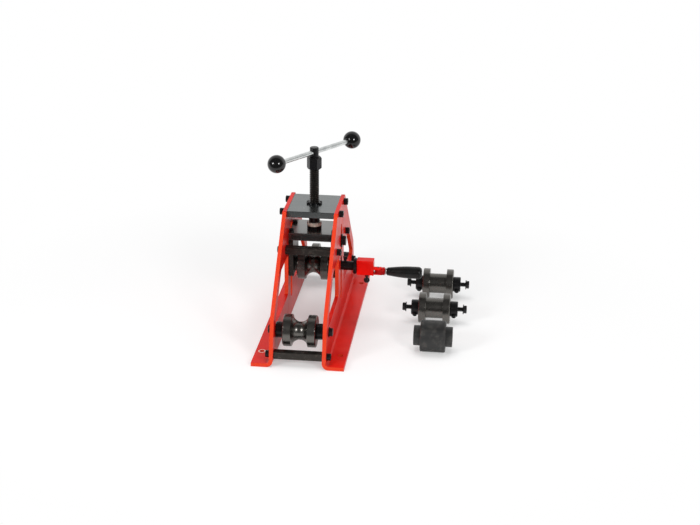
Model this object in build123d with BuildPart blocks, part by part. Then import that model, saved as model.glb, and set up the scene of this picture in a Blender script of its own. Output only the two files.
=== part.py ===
from build123d import *
import math
import os

# Ring roller: two folded side plates carry a sliding carriage with the driven top roller,
# which a hand screw presses down between two fixed bottom rollers.
# X lies along the roller axes, Y along the work, Z up.
# The origin is at floor level, in the middle of the four bench bolt holes.
# All sizes are in millimetres.

os.makedirs("parts", exist_ok=True)

# ---------------------------------------------------------------- clearances
RUNNING = 0.05           # radial clearance of a shaft in its bore
SIDE_GAP = 0.3           # carriage to side plate
FACE_GAP = 0.2           # roller end face to the collar or cheek beside it
PART_GAP = 0.3           # faces that pass each other
HINGE_GAP = 0.45         # tongue's shoulder to the housing ears
EDGE_BREAK = 1.0         # chamfer on sawn and milled edges
CAP_EDGE_BREAK = 0.5     # chamfer on the small screws' ends

# ---------------------------------------------------------------- side plates
PLATE_GAP = 100.0        # between the inner faces
PLATE_THICKNESS = 8.0
FLANGE_REACH = 37.0      # foot flange beyond the plate's outer face
BEND_OUTSIDE = 14.0      # outside radius of the fold
BASE_LENGTH = 508.0
TOP_LENGTH = 127.0
SHOULDER_INSET = 21.5    # shoulder corner to the end of the base
STRUT_WIDTH = 24.0       # sloping strut, square to its edge
COLUMN_WIDTH = 88.0      # middle column between the windows
WINDOW_SILL = 74.0
WINDOW_HEIGHT = 90.0
WINDOW_CORNER = 8.0
SHOULDER_CORNER = 18.0
TOP_CORNER = 4.0

# ---------------------------------------------------------------- rollers
SHAFT_DIAMETER = 20.0
RIM_RADIUS = 33.0
DIE_WIDTH = 67.6
GROOVE_RADIUS = 17.0
GROOVE_LIFT = 2.5        # groove centre beyond the rim
RIM_CHAMFER = 1.5
BUSH_WALL = 3.0
COLLAR_DIAMETER = 33.0
ROLLER_HEIGHT = 62.5     # bottom roller axis above the floor
ROLLER_INSET = 50.0      # bottom roller axis to the end of the base
DRIVE_HEIGHT = 128.5     # top roller axis above the floor, at rest
KEY_SIZE = 6.0
KEY_LENGTH = 50.0

# ---------------------------------------------------------------- carriage
CHEEK_THICKNESS = 9.7
CHEEK_LENGTH = 76.0
CHEEK_BELOW_SHAFT = 16.5
CHEEK_ABOVE_SHAFT = 65.4
CARRIAGE_PLATE = 16.6
CARRIAGE_OVERHANG = 12.0 # carriage plate beyond the cheeks at the rear
CLIP_POCKET_DIAMETER = 26.0
CLIP_POCKET_DEPTH = 9.0
CAP_SCREW_SPACING = 54.0
GUIDE_ABOVE_SHAFT = 56.5
SLOT_WIDTH = 22.0
SLOT_HEADROOM = 15.0     # free slot above the guide bolt at the top of the lift
SLOT_FOOTROOM = 22.0     # free slot below the shaft at the bottom of the lift
LIFT_UP = 12.0
LIFT_DOWN = 44.0

# ---------------------------------------------------------------- pressure screw
SCREW_DIAMETER = 20.0
SPIGOT_DIAMETER = 12.0
SOCKET_DIAMETER = 30.6
SOCKET_HEIGHT = 7.5
SOCKET_FLUTES = 10
FLUTE_DIAMETER = 4.0
BEARING_HEIGHT = 7.7
BEARING_HOLES = 8
BEARING_HOLE_DIAMETER = 4.0
BEARING_HOLE_DEPTH = 3.0
BEARING_HOLE_HEIGHT = 4.4
BEARING_GROOVE = 1.0
BEARING_GROOVE_HEIGHT = 0.6
LOCK_COLLAR_DIAMETER = 23.0
LOCK_COLLAR_HEIGHT = 14.5
SCREW_EXPOSED = 77.0     # thread seen above the top plate at rest
HEAD_FLATS = 27.0
HEAD_HEIGHT = 26.0
HEAD_CROWN_ANGLE = 40.0
HUB_DIAMETER = 18.5
HUB_HEIGHT = 20.5
BAR_ABOVE_HEAD = 10.0
HEAD_PIN_DIAMETER = 4.0
HEAD_SOCKET_DEPTH = 16.0
HEAD_SPIGOT_DIAMETER = 14.0
SPINDLE_CLIP_DIAMETER = 24.0
SPINDLE_CLIP_HEIGHT = 8.0

# ---------------------------------------------------------------- top plate and cross bars
TOP_PLATE_THICKNESS = 13.5
TOP_PLATE_LENGTH = 115.0
PLATE_LIP = 1.0          # side plates stand this much above the top plate
NUT_BODY_DIAMETER = 28.0
NUT_FLANGE_DIAMETER = 33.0
NUT_FLANGE_HEIGHT = 4.0
NUT_NOTCHES = 8
NUT_NOTCH_WIDTH = 6.0
NUT_NOTCH_DEPTH = 4.5
BAR_SIZE = 16.0
BASE_BAR_INSET = 16.0
BASE_BAR_HEIGHT = 23.0
TIE_BAR_SPREAD = 75.0
TIE_BAR_ABOVE_WINDOW = 23.0
REAR_TIE_BAR_DROP = 6.7  # rear tie bar below the front one
TOP_BOLT_SPREAD = 40.0

# ---------------------------------------------------------------- fasteners
HEX_FACE_SHARE = 0.47    # flat face radius of a hexagon head, as a share of its flats
HEX_CROWN_ANGLE = 30.0
FRAME_CAP_DIAMETER = 14.5
FRAME_CAP_HEIGHT = 9.0
FRAME_CAP_SOCKET = 8.0
FRAME_CAP_SOCKET_DEPTH = 4.5
M10_DIAMETER = 10.0
M10_FLATS = 16.0
M10_HEAD = 6.4
M10_GRIP = 20.0          # thread engaged in the bar, plate or axle end
BOLT_HOLE = 11.0
WASHER_DIAMETER = 21.0
WASHER_THICKNESS = 2.0
M12_DIAMETER = 12.0
M12_FLATS = 19.0
M12_HEAD = 7.5
M6_DIAMETER = 6.0
M6_CAP_DIAMETER = 10.0
M6_CAP_HEIGHT = 6.0
M6_CAP_GRIP = 18.0
M6_HEX_SOCKET = 5.0
M6_HEX_DEPTH = 3.0
GUIDE_SLEEVE_GAP = 0.2
GUIDE_WASHER_DIAMETER = 28.0
GUIDE_WASHER_THICKNESS = 2.5
BENCH_HOLE_EDGE = 13.5   # bench bolt hole to the flange's outer edge
BENCH_HOLE_INSET = 58.0
SET_SCREW_LENGTH = 9.0
SET_SCREW_SOCKET = 3.0
SET_SCREW_SOCKET_DEPTH = 2.0
SET_SCREW_TILT = 35.0    # set screws point forwards and down on the loose rollers

# ---------------------------------------------------------------- drive head
NOSE_DIAMETER = 12.0
SLEEVE_LENGTH = 26.9
SLEEVE_FLANGE_DIAMETER = 35.0
SLEEVE_FLANGE_THICKNESS = 6.6
LOCK_SCREW_FROM_PLATE = 9.0
LOCK_SCREW_FLATS = 8.0
LOCK_SCREW_HEAD = 6.0
LOCK_SCREW_NECK = 5.0
LOCK_SCREW_DIAMETER = 5.0
HOUSING_LENGTH = 36.2
HOUSING_DEPTH = 24.0
HOUSING_HEIGHT = 32.0
HOUSING_EDGE = 1.5
WHEEL_RADIUS = 10.4
WHEEL_WIDTH = 12.0
WHEEL_NOTCHES = 8
WHEEL_NOTCH_WIDTH = 3.2
WHEEL_NOTCH_DEPTH = 2.6
WHEEL_FROM_HOUSING_END = 9.0
WHEEL_KEY = 3.0
CLIP_THICKNESS = 1.0
CLIP_DIAMETER = 16.0
CLIP_GROOVE_DEPTH = 0.5
NOSE_BEARING = 4.0       # blind bearing in the housing's end wall
END_WALL = 3.0
NECK_RADIUS = 9.0
HANDLE_DROP = 9.0        # handle axis below the shaft axis
HINGE_FROM_HOUSING = 9.5
EAR_RADIUS = 8.0
TONGUE_THICKNESS = 8.0
TONGUE_ROOT_RADIUS = 7.5
HINGE_PIN_DIAMETER = 5.0
NECK_COLLAR_DIAMETER = 17.0
NECK_COLLAR_LENGTH = 5.6
FERRULE_DIAMETER = 15.0
FERRULE_LENGTH = 5.0
GRIP_LENGTH = 75.0
GRIP_START_RADIUS = 8.4
GRIP_FULL_RADIUS = 13.0
GRIP_TAPER_LENGTH = 52.0
GRIP_START_SLOPE = 0.18
GRIP_END_ROUND = 8.0
ROD_DIAMETER = 8.0
ROD_IN_COLLAR = 4.5
ROD_IN_GRIP = 60.0

# ---------------------------------------------------------------- pawl plunger
PLUNGER_TRAVEL = 3.2
GUIDE_TUBE_DIAMETER = 8.5
GUIDE_TUBE_DROP = 6.5    # guide tube below the housing
GUIDE_TUBE_FLOOR = 1.5
PAWL_HEAD_DIAMETER = 6.5
PAWL_HEAD_HEIGHT = 2.0
PAWL_BLADE_THICKNESS = 2.6
PAWL_BLADE_LENGTH = 5.0
PAWL_BLADE_BEVEL = 1.2
PAWL_TIP_GAP = 0.6       # parked tip below the wheel cavity
PAWL_BLADE_HEIGHT = 3.2
PLUNGER_ROD_DIAMETER = 4.0
KNOB_DIAMETER = 13.0
KNOB_BELOW_TUBE = 8.6
SPRING_WIRE = 0.7
SPRING_TURNS = 4

# ---------------------------------------------------------------- tommy bar
TOMMY_DIAMETER = 10.0
TOMMY_ANGLE = 55.2       # turned from X towards Y
TOMMY_REACH = 115.6      # middle of the bar to ball centre
TOMMY_OFFSET = 3.0       # middle of the bar beyond the screw axis, at rest
BALL_DIAMETER = 37.5
BALL_FLAT = 2.0
BALL_SEAT_DEPTH = 14.0

# ---------------------------------------------------------------- loose rollers on the floor
LOOSE_CORE_RADIUS = 22.0
LOOSE_RIM_WIDTH = 15.0
LOOSE_BOLT_STANDOFF = 13.0
LOOSE_SET_A = (259.5, 158.0)
LOOSE_SET_B = (260.0, 17.0)
DRUM_CENTRE = (266.0, -130.0)
DRUM_WIDTH = 52.0
DRUM_HUB_DIAMETER = 42.0
DRUM_HUB_WIDTH = 14.0
SCREW_PROUD = 3.0        # set screw standing out of a loose collar

# ---------------------------------------------------------------- places worked out from the sizes
half_gap = PLATE_GAP / 2
plate_outer = half_gap + PLATE_THICKNESS
flange_outer = plate_outer + FLANGE_REACH
half_base = BASE_LENGTH / 2
half_top = TOP_LENGTH / 2
roller_y = half_base - ROLLER_INSET
base_bar_y = half_base - BASE_BAR_INSET
half_die = DIE_WIDTH / 2
collar_width = half_gap - half_die - FACE_GAP
carriage_outer = half_gap - SIDE_GAP
cheek_inner = carriage_outer - CHEEK_THICKNESS
cheek_bottom = DRIVE_HEIGHT - CHEEK_BELOW_SHAFT
cheek_top = DRIVE_HEIGHT + CHEEK_ABOVE_SHAFT
carriage_top = cheek_top + CARRIAGE_PLATE
socket_top = carriage_top + SOCKET_HEIGHT
bearing_top = socket_top + BEARING_HEIGHT
collar_top = bearing_top + LOCK_COLLAR_HEIGHT
top_plate_under = collar_top + LIFT_UP + PART_GAP
top_plate_over = top_plate_under + TOP_PLATE_THICKNESS
plate_height = top_plate_over + PLATE_LIP
head_bottom = top_plate_over + SCREW_EXPOSED
hub_bottom = head_bottom + HEAD_HEIGHT
bar_height = hub_bottom + BAR_ABOVE_HEAD
guide_height = DRIVE_HEIGHT + GUIDE_ABOVE_SHAFT
slot_low_centre = DRIVE_HEIGHT - LIFT_DOWN - SLOT_FOOTROOM
slot_high_centre = guide_height + LIFT_UP + SLOT_HEADROOM
window_top = WINDOW_SILL + WINDOW_HEIGHT
front_tie_height = window_top + TIE_BAR_ABOVE_WINDOW
rear_tie_height = front_tie_height - REAR_TIE_BAR_DROP
top_bolt_height = (top_plate_under + top_plate_over) / 2
shoulder_y = half_base - SHOULDER_INSET
edge_sum = plate_height + half_top          # the 45 degree edge: |Y| + Z
shoulder_z = edge_sum - shoulder_y
window_sum = edge_sum - STRUT_WIDTH * math.sqrt(2)
bush_diameter = SHAFT_DIAMETER + 2 * BUSH_WALL
groove_centre = RIM_RADIUS + GROOVE_LIFT
tap_hole = M10_DIAMETER + 2 * RUNNING
shaft_bore = SHAFT_DIAMETER + 2 * RUNNING

nose_start = plate_outer + PART_GAP
sleeve_end = nose_start + SLEEVE_LENGTH
flange_end = sleeve_end + SLEEVE_FLANGE_THICKNESS
housing_start = flange_end + PART_GAP
housing_end = housing_start + HOUSING_LENGTH
wheel_end = housing_end - WHEEL_FROM_HOUSING_END
wheel_start = wheel_end - WHEEL_WIDTH
wheel_middle = (wheel_start + wheel_end) / 2
cavity_radius = WHEEL_RADIUS + PART_GAP
nose_end = housing_end - END_WALL - PART_GAP
cavity_end = nose_end - NOSE_BEARING
handle_height = DRIVE_HEIGHT - HANDLE_DROP
hinge_x = housing_end + HINGE_FROM_HOUSING
neck_collar_start = hinge_x + EAR_RADIUS + HINGE_GAP
neck_collar_end = neck_collar_start + NECK_COLLAR_LENGTH
ferrule_end = neck_collar_end + FERRULE_LENGTH
grip_end = ferrule_end + GRIP_LENGTH

housing_bottom = DRIVE_HEIGHT - HOUSING_HEIGHT / 2
cavity_bottom = DRIVE_HEIGHT - cavity_radius
guide_tube_bottom = housing_bottom - GUIDE_TUBE_DROP
guide_tube_top = cavity_bottom - PART_GAP
pawl_tip = cavity_bottom - PAWL_TIP_GAP
pawl_blade_bottom = pawl_tip - PAWL_BLADE_HEIGHT
pawl_head_bottom = pawl_blade_bottom - PAWL_HEAD_HEIGHT
spring_bottom = guide_tube_bottom + GUIDE_TUBE_FLOOR
knob_height = guide_tube_bottom - KNOB_BELOW_TUBE


def save(piece, label):
    """Name a finished piece and write it as one STEP file."""
    piece.part.label = label
    export_step(piece.part, f"parts/{label}.step")


def hex_screw(flats, head, diameter, length):
    """Hexagon screw along X: seat at X = 0, head outwards, shank inwards."""
    corner_radius = flats / math.sqrt(3)
    face_radius = HEX_FACE_SHARE * flats
    crown = (corner_radius - face_radius) * math.tan(math.radians(HEX_CROWN_ANGLE))
    with BuildPart() as screw:
        with BuildSketch(Plane.YZ):
            RegularPolygon(flats / 2, 6, major_radius=False, rotation=30)
        extrude(amount=head)
        with BuildSketch(Plane.XY):
            with BuildLine():
                Polyline(
                    (0, 0),
                    (0, corner_radius),
                    (head - crown, corner_radius),
                    (head, face_radius),
                    (head, 0),
                    close=True,
                )
            make_face()
        revolve(axis=Axis.X, mode=Mode.INTERSECT)
        with BuildSketch(Plane.YZ):
            Circle(diameter / 2)
        extrude(amount=-length)
    return screw.part


def cap_screw(cap_diameter, cap_height, diameter, length, socket, socket_depth):
    """Socket cap screw along Z: seat at Z = 0, head upwards, shank downwards."""
    with BuildPart() as screw:
        with BuildSketch(Plane.XY):
            Circle(cap_diameter / 2)
        extrude(amount=cap_height)
        chamfer(screw.edges().group_by(Axis.Z)[-1], CAP_EDGE_BREAK)
        with BuildSketch(Plane.XY.offset(cap_height)):
            RegularPolygon(socket / 2, 6, major_radius=False)
        extrude(amount=-socket_depth, mode=Mode.SUBTRACT)
        with BuildSketch(Plane.XY):
            Circle(diameter / 2)
        extrude(amount=-length)
    return screw.part


def set_screw(diameter, length, socket):
    """Headless screw along Z with its tip at Z = 0 and a hexagon socket on top."""
    with BuildPart() as screw:
        with BuildSketch(Plane.XY):
            Circle(diameter / 2)
        extrude(amount=length)
        chamfer(screw.edges().group_by(Axis.Z)[-1], CAP_EDGE_BREAK)
        with BuildSketch(Plane.XY.offset(length)):
            RegularPolygon(socket / 2, 6, major_radius=False)
        extrude(amount=-SET_SCREW_SOCKET_DEPTH, mode=Mode.SUBTRACT)
    return screw.part


def ring(outer, inner, width):
    """Plain ring about X, from X = 0 to its width."""
    with BuildPart() as piece:
        with BuildSketch(Plane.YZ):
            Circle(outer / 2)
            Circle(inner / 2, mode=Mode.SUBTRACT)
        extrude(amount=width)
    return piece.part


def grooved_die(bore, hub_diameter=0.0, hub_width=0.0):
    """Roller about X, centred on X = 0, with a round groove for pipe between two rims."""
    groove_edge = math.sqrt(GROOVE_RADIUS**2 - GROOVE_LIFT**2)
    with BuildPart() as die:
        with BuildSketch(Plane.XY):
            with BuildLine():
                Polyline(
                    (-groove_edge, RIM_RADIUS),
                    (-half_die + RIM_CHAMFER, RIM_RADIUS),
                    (-half_die, RIM_RADIUS - RIM_CHAMFER),
                    (-half_die, 0),
                    (half_die, 0),
                    (half_die, RIM_RADIUS - RIM_CHAMFER),
                    (half_die - RIM_CHAMFER, RIM_RADIUS),
                    (groove_edge, RIM_RADIUS),
                )
                ThreePointArc(
                    (groove_edge, RIM_RADIUS),
                    (0, groove_centre - GROOVE_RADIUS),
                    (-groove_edge, RIM_RADIUS),
                )
            make_face()
        revolve(axis=Axis.X)
        if hub_width:
            with BuildSketch(Plane.YZ):
                Circle(hub_diameter / 2)
            extrude(amount=half_die + hub_width, both=True)
        with BuildSketch(Plane.YZ):
            Circle(bore / 2)
        extrude(amount=half_die + hub_width, both=True, mode=Mode.SUBTRACT)
    return die.part


def tapped_axle(half_length):
    """Axle about X, centred on X = 0, tapped for a bolt at each end."""
    with BuildPart() as axle:
        with BuildSketch(Plane.YZ):
            Circle(SHAFT_DIAMETER / 2)
        extrude(amount=half_length, both=True)
        for end, inwards in ((half_length, -1), (-half_length, 1)):
            with BuildSketch(Plane.YZ.offset(end)):
                Circle(tap_hole / 2)
            extrude(amount=inwards * (M10_GRIP + 2 * EDGE_BREAK), mode=Mode.SUBTRACT)
    return axle.part


def collar(screw_angle):
    """Axle collar about X, from X = 0, drilled for a set screw at an angle from -Y."""
    with BuildPart() as piece:
        with BuildSketch(Plane.YZ):
            Circle(COLLAR_DIAMETER / 2)
        extrude(amount=collar_width)
        chamfer(piece.edges().filter_by(GeomType.CIRCLE), EDGE_BREAK)
        with BuildSketch(Plane.YZ):
            Circle(shaft_bore / 2)
        extrude(amount=collar_width, mode=Mode.SUBTRACT)
        with BuildSketch(screw_plane(collar_width / 2, 0, 0, screw_angle)):
            Circle(M6_DIAMETER / 2 + RUNNING)
        extrude(amount=COLLAR_DIAMETER, mode=Mode.SUBTRACT)
    return piece.part


def screw_plane(x, y, z, angle):
    """Plane across a set screw whose axis points from the roller axis, angle below -Y."""
    tilt = math.radians(angle)
    outwards = (0, -math.cos(tilt), -math.sin(tilt))
    return Plane(origin=(x, y, z), x_dir=(1, 0, 0), z_dir=outwards)


# ---------------------------------------------------------------- side plates
cross_bars = {
    "front_base_bar": (-base_bar_y, BASE_BAR_HEIGHT),
    "rear_base_bar": (base_bar_y, BASE_BAR_HEIGHT),
    "front_tie_bar": (-TIE_BAR_SPREAD, front_tie_height),
    "rear_tie_bar": (TIE_BAR_SPREAD, rear_tie_height),
}
top_bolt_places = [(-TOP_BOLT_SPREAD, top_bolt_height), (TOP_BOLT_SPREAD, top_bolt_height)]
frame_bolt_places = [*top_bolt_places, *cross_bars.values()]
roller_places = [(-roller_y, ROLLER_HEIGHT), (roller_y, ROLLER_HEIGHT)]
with BuildPart() as right_side_plate:
    with BuildSketch(Plane.XZ) as section:
        with BuildLine():
            Polyline(
                (half_gap, 0),
                (flange_outer, 0),
                (flange_outer, PLATE_THICKNESS),
                (plate_outer, PLATE_THICKNESS),
                (plate_outer, plate_height),
                (half_gap, plate_height),
                close=True,
            )
        make_face()
        low_corners = section.vertices().group_by(Axis.Y)
        fillet(low_corners[0].sort_by(Axis.X)[0], BEND_OUTSIDE)
        inner_corner = section.vertices().filter_by_position(
            Axis.Y, PLATE_THICKNESS - EDGE_BREAK / 2, PLATE_THICKNESS + EDGE_BREAK / 2
        )
        fillet(inner_corner.sort_by(Axis.X)[0], BEND_OUTSIDE - PLATE_THICKNESS)
    extrude(amount=half_base, both=True)
    with BuildSketch(Plane.YZ) as outline:
        with BuildLine():
            Polyline(
                (-half_base, 0),
                (half_base, 0),
                (half_base, BEND_OUTSIDE),
                (shoulder_y, shoulder_z),
                (half_top, plate_height),
                (-half_top, plate_height),
                (-shoulder_y, shoulder_z),
                (-half_base, BEND_OUTSIDE),
                close=True,
            )
        make_face()
        fillet(outline.vertices().group_by(Axis.Y)[-1], TOP_CORNER)
        shoulders = outline.vertices().filter_by_position(
            Axis.Y, shoulder_z - EDGE_BREAK, shoulder_z + EDGE_BREAK
        )
        fillet(shoulders, SHOULDER_CORNER)
    extrude(amount=flange_outer, mode=Mode.INTERSECT)
    for side in (-1, 1):
        with BuildSketch(Plane.YZ) as window:
            with BuildLine():
                Polyline(
                    (side * COLUMN_WIDTH / 2, WINDOW_SILL),
                    (side * (window_sum - WINDOW_SILL), WINDOW_SILL),
                    (side * (window_sum - window_top), window_top),
                    (side * COLUMN_WIDTH / 2, window_top),
                    close=True,
                )
            make_face()
            fillet(window.vertices(), WINDOW_CORNER)
        extrude(amount=flange_outer, mode=Mode.SUBTRACT)
    with BuildSketch(Plane.YZ):
        with Locations((0, (slot_low_centre + slot_high_centre) / 2)):
            SlotCenterToCenter(slot_high_centre - slot_low_centre, SLOT_WIDTH, rotation=90)
        with Locations(*frame_bolt_places, *roller_places):
            Circle(BOLT_HOLE / 2)
    extrude(amount=plate_outer + EDGE_BREAK, mode=Mode.SUBTRACT)
    with BuildSketch(Plane.XY):
        for side in (-1, 1):
            with Locations((flange_outer - BENCH_HOLE_EDGE, side * (half_base - BENCH_HOLE_INSET))):
                Circle(BOLT_HOLE / 2)
    extrude(amount=PLATE_THICKNESS, mode=Mode.SUBTRACT)
save(right_side_plate, "right_side_plate")

with BuildPart() as left_side_plate:
    add(right_side_plate.part.mirror(Plane.YZ))
save(left_side_plate, "left_side_plate")

# ---------------------------------------------------------------- top plate and its nut
with BuildPart() as top_plate:
    with BuildSketch(Plane.XY.offset(top_plate_under)):
        Rectangle(PLATE_GAP, TOP_PLATE_LENGTH)
    extrude(amount=TOP_PLATE_THICKNESS)
    long_edges = top_plate.edges().filter_by(Axis.X)
    chamfer(long_edges, EDGE_BREAK)
    with BuildSketch(Plane.XY.offset(top_plate_under)):
        Circle(NUT_BODY_DIAMETER / 2 + RUNNING)
    extrude(amount=TOP_PLATE_THICKNESS, mode=Mode.SUBTRACT)
    for end, inwards in ((half_gap, -1), (-half_gap, 1)):
        with BuildSketch(Plane.YZ.offset(end)):
            with Locations(*top_bolt_places):
                Circle(tap_hole / 2)
        extrude(amount=inwards * (M10_GRIP + 2 * EDGE_BREAK), mode=Mode.SUBTRACT)
save(top_plate, "top_plate")

with BuildPart() as screw_nut:
    with BuildSketch(Plane.XY.offset(top_plate_over)):
        Circle(NUT_FLANGE_DIAMETER / 2)
        with PolarLocations(NUT_FLANGE_DIAMETER / 2, NUT_NOTCHES):
            Rectangle(2 * NUT_NOTCH_DEPTH, NUT_NOTCH_WIDTH, mode=Mode.SUBTRACT)
    extrude(amount=NUT_FLANGE_HEIGHT)
    with BuildSketch(Plane.XY.offset(top_plate_over)):
        Circle(NUT_BODY_DIAMETER / 2)
    extrude(amount=-TOP_PLATE_THICKNESS)
    with BuildSketch(Plane.XY.offset(top_plate_under)):
        Circle(SCREW_DIAMETER / 2 + RUNNING)
    extrude(amount=TOP_PLATE_THICKNESS + NUT_FLANGE_HEIGHT, mode=Mode.SUBTRACT)
save(screw_nut, "screw_nut")

# ---------------------------------------------------------------- cross bars
for label, (bar_y, bar_z) in cross_bars.items():
    with BuildPart() as bar:
        with BuildSketch(Plane.YZ):
            with Locations((bar_y, bar_z)):
                Rectangle(BAR_SIZE, BAR_SIZE)
        extrude(amount=half_gap, both=True)
        chamfer(bar.edges().filter_by(Axis.X), EDGE_BREAK)
        for end, inwards in ((half_gap, -1), (-half_gap, 1)):
            with BuildSketch(Plane.YZ.offset(end)):
                with Locations((bar_y, bar_z)):
                    Circle(tap_hole / 2)
            extrude(amount=inwards * (M10_GRIP + 2 * EDGE_BREAK), mode=Mode.SUBTRACT)
    save(bar, label)

# ---------------------------------------------------------------- frame bolts and washers
frame_bolt = cap_screw(
    FRAME_CAP_DIAMETER,
    FRAME_CAP_HEIGHT,
    M10_DIAMETER,
    PLATE_THICKNESS + M10_GRIP,
    FRAME_CAP_SOCKET,
    FRAME_CAP_SOCKET_DEPTH,
)
axle_bolt = hex_screw(
    M10_FLATS, M10_HEAD, M10_DIAMETER, WASHER_THICKNESS + PLATE_THICKNESS + M10_GRIP
)
washer = ring(WASHER_DIAMETER, tap_hole, WASHER_THICKNESS - RUNNING)
with BuildPart() as frame_bolts:
    with Locations(*[Location((plate_outer, y, z), (0, 90, 0)) for y, z in frame_bolt_places]):
        add(frame_bolt)
    with Locations(*[Location((-plate_outer, y, z), (0, -90, 0)) for y, z in frame_bolt_places]):
        add(frame_bolt)
save(frame_bolts, "frame_bolts")

washer_outer = plate_outer + WASHER_THICKNESS
axle_set_screw = set_screw(M6_DIAMETER, SET_SCREW_LENGTH - SCREW_PROUD, SET_SCREW_SOCKET)
axle_screw_x = half_gap - collar_width / 2
axle_screw_z = ROLLER_HEIGHT + SHAFT_DIAMETER / 2 + RUNNING
with BuildPart() as axle_fasteners:
    for y in (-roller_y, roller_y):
        with Locations(Location((washer_outer, y, ROLLER_HEIGHT))):
            add(axle_bolt)
        with Locations(Location((-washer_outer, y, ROLLER_HEIGHT), (0, 0, 180))):
            add(axle_bolt)
        with Locations((plate_outer, y, ROLLER_HEIGHT), (RUNNING - washer_outer, y, ROLLER_HEIGHT)):
            add(washer)
        with Locations((axle_screw_x, y, axle_screw_z), (-axle_screw_x, y, axle_screw_z)):
            add(axle_set_screw)
save(axle_fasteners, "axle_fasteners")

# ---------------------------------------------------------------- bottom rollers
bottom_axle = tapped_axle(half_gap)
bottom_bush = ring(bush_diameter, shaft_bore, DIE_WIDTH)
bottom_die = grooved_die(bush_diameter + 2 * RUNNING)
upright_collar = collar(-90)
collar_places = [
    (x, y)
    for x in (half_gap - collar_width, -half_gap)
    for y in (-roller_y, roller_y)
]

for place, y in (("front", -roller_y), ("rear", roller_y)):
    with BuildPart() as axle:
        with Locations((0, y, ROLLER_HEIGHT)):
            add(bottom_axle)
    save(axle, f"{place}_axle")

    with BuildPart() as die:
        with Locations((0, y, ROLLER_HEIGHT)):
            add(bottom_die)
    save(die, f"{place}_die")

    with BuildPart() as bush:
        with Locations((-half_die, y, ROLLER_HEIGHT)):
            add(bottom_bush)
    save(bush, f"{place}_die_bush")

with BuildPart() as axle_collars:
    with Locations(*[(x, y, ROLLER_HEIGHT) for x, y in collar_places]):
        add(upright_collar)
save(axle_collars, "axle_collars")

# ---------------------------------------------------------------- carriage
cap_screw_x = cheek_inner + CHEEK_THICKNESS / 2
with BuildPart() as right_cheek:
    with BuildSketch(Plane.YZ.offset(cheek_inner)):
        with Locations((0, (cheek_bottom + cheek_top) / 2)):
            Rectangle(CHEEK_LENGTH, cheek_top - cheek_bottom)
    extrude(amount=CHEEK_THICKNESS)
    chamfer(right_cheek.edges().filter_by(Axis.X).group_by(Axis.Z)[0], 3 * EDGE_BREAK)
    with BuildSketch(Plane.YZ.offset(cheek_inner)):
        with Locations((0, DRIVE_HEIGHT)):
            Circle(bush_diameter / 2 + RUNNING)
        with Locations((0, guide_height)):
            Circle(M12_DIAMETER / 2 + RUNNING)
    extrude(amount=CHEEK_THICKNESS, mode=Mode.SUBTRACT)
    with BuildSketch(Plane.XY.offset(cheek_top)):
        for side in (-1, 1):
            with Locations((cap_screw_x, side * CAP_SCREW_SPACING / 2)):
                Circle(M6_DIAMETER / 2 + RUNNING)
    extrude(amount=-M6_CAP_GRIP, mode=Mode.SUBTRACT)
save(right_cheek, "right_cheek")

with BuildPart() as left_cheek:
    add(right_cheek.part.mirror(Plane.YZ))
save(left_cheek, "left_cheek")

cap_screw_places = [
    (x, y)
    for x in (-cap_screw_x, cap_screw_x)
    for y in (-CAP_SCREW_SPACING / 2, CAP_SCREW_SPACING / 2)
]
with BuildPart() as carriage_plate:
    with BuildSketch(Plane.XY.offset(cheek_top)):
        with Locations((0, CARRIAGE_OVERHANG / 2)):
            Rectangle(2 * carriage_outer, CHEEK_LENGTH + CARRIAGE_OVERHANG)
    extrude(amount=CARRIAGE_PLATE)
    chamfer(carriage_plate.edges().filter_by(Axis.X), EDGE_BREAK)
    with BuildSketch(Plane.XY.offset(cheek_top)):
        Circle(SPIGOT_DIAMETER / 2 + RUNNING)
        with Locations(*cap_screw_places):
            Circle(M6_DIAMETER / 2 + RUNNING)
    extrude(amount=CARRIAGE_PLATE, mode=Mode.SUBTRACT)
    with BuildSketch(Plane.XY.offset(cheek_top)):
        Circle(CLIP_POCKET_DIAMETER / 2)
    extrude(amount=CLIP_POCKET_DEPTH, mode=Mode.SUBTRACT)
save(carriage_plate, "carriage_plate")

carriage_screw = cap_screw(
    M6_CAP_DIAMETER - PART_GAP,
    M6_CAP_HEIGHT,
    M6_DIAMETER,
    CARRIAGE_PLATE + M6_CAP_GRIP - EDGE_BREAK,
    M6_HEX_SOCKET,
    M6_HEX_DEPTH,
)
with BuildPart() as carriage_cap_screws:
    with Locations(*[(x, y, carriage_top) for x, y in cap_screw_places]):
        add(carriage_screw)
save(carriage_cap_screws, "carriage_cap_screws")

guide_sleeve_end = plate_outer + PART_GAP
guide_seat = guide_sleeve_end + GUIDE_WASHER_THICKNESS
with BuildPart() as guide_sleeve:
    with BuildSketch(Plane.YZ.offset(carriage_outer)):
        Circle(SLOT_WIDTH / 2 - GUIDE_SLEEVE_GAP)
    extrude(amount=guide_sleeve_end - carriage_outer)
    with BuildSketch(Plane.YZ.offset(guide_sleeve_end)):
        Circle(GUIDE_WASHER_DIAMETER / 2)
    extrude(amount=GUIDE_WASHER_THICKNESS)
    with BuildSketch(Plane.YZ.offset(carriage_outer)):
        Circle(M12_DIAMETER / 2 + RUNNING)
    extrude(amount=guide_seat - carriage_outer, mode=Mode.SUBTRACT)
guide_bolt = hex_screw(
    M12_FLATS, M12_HEAD, M12_DIAMETER, guide_seat - cheek_inner - EDGE_BREAK
)
with BuildPart() as guide_sleeves:
    with Locations(Location((0, 0, guide_height)), Location((0, 0, guide_height), (0, 0, 180))):
        add(guide_sleeve.part)
save(guide_sleeves, "guide_sleeves")

with BuildPart() as guide_bolts:
    with Locations(Location((guide_seat, 0, guide_height))):
        add(guide_bolt)
    with Locations(Location((-guide_seat, 0, guide_height), (0, 0, 180))):
        add(guide_bolt)
save(guide_bolts, "guide_bolts")

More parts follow.
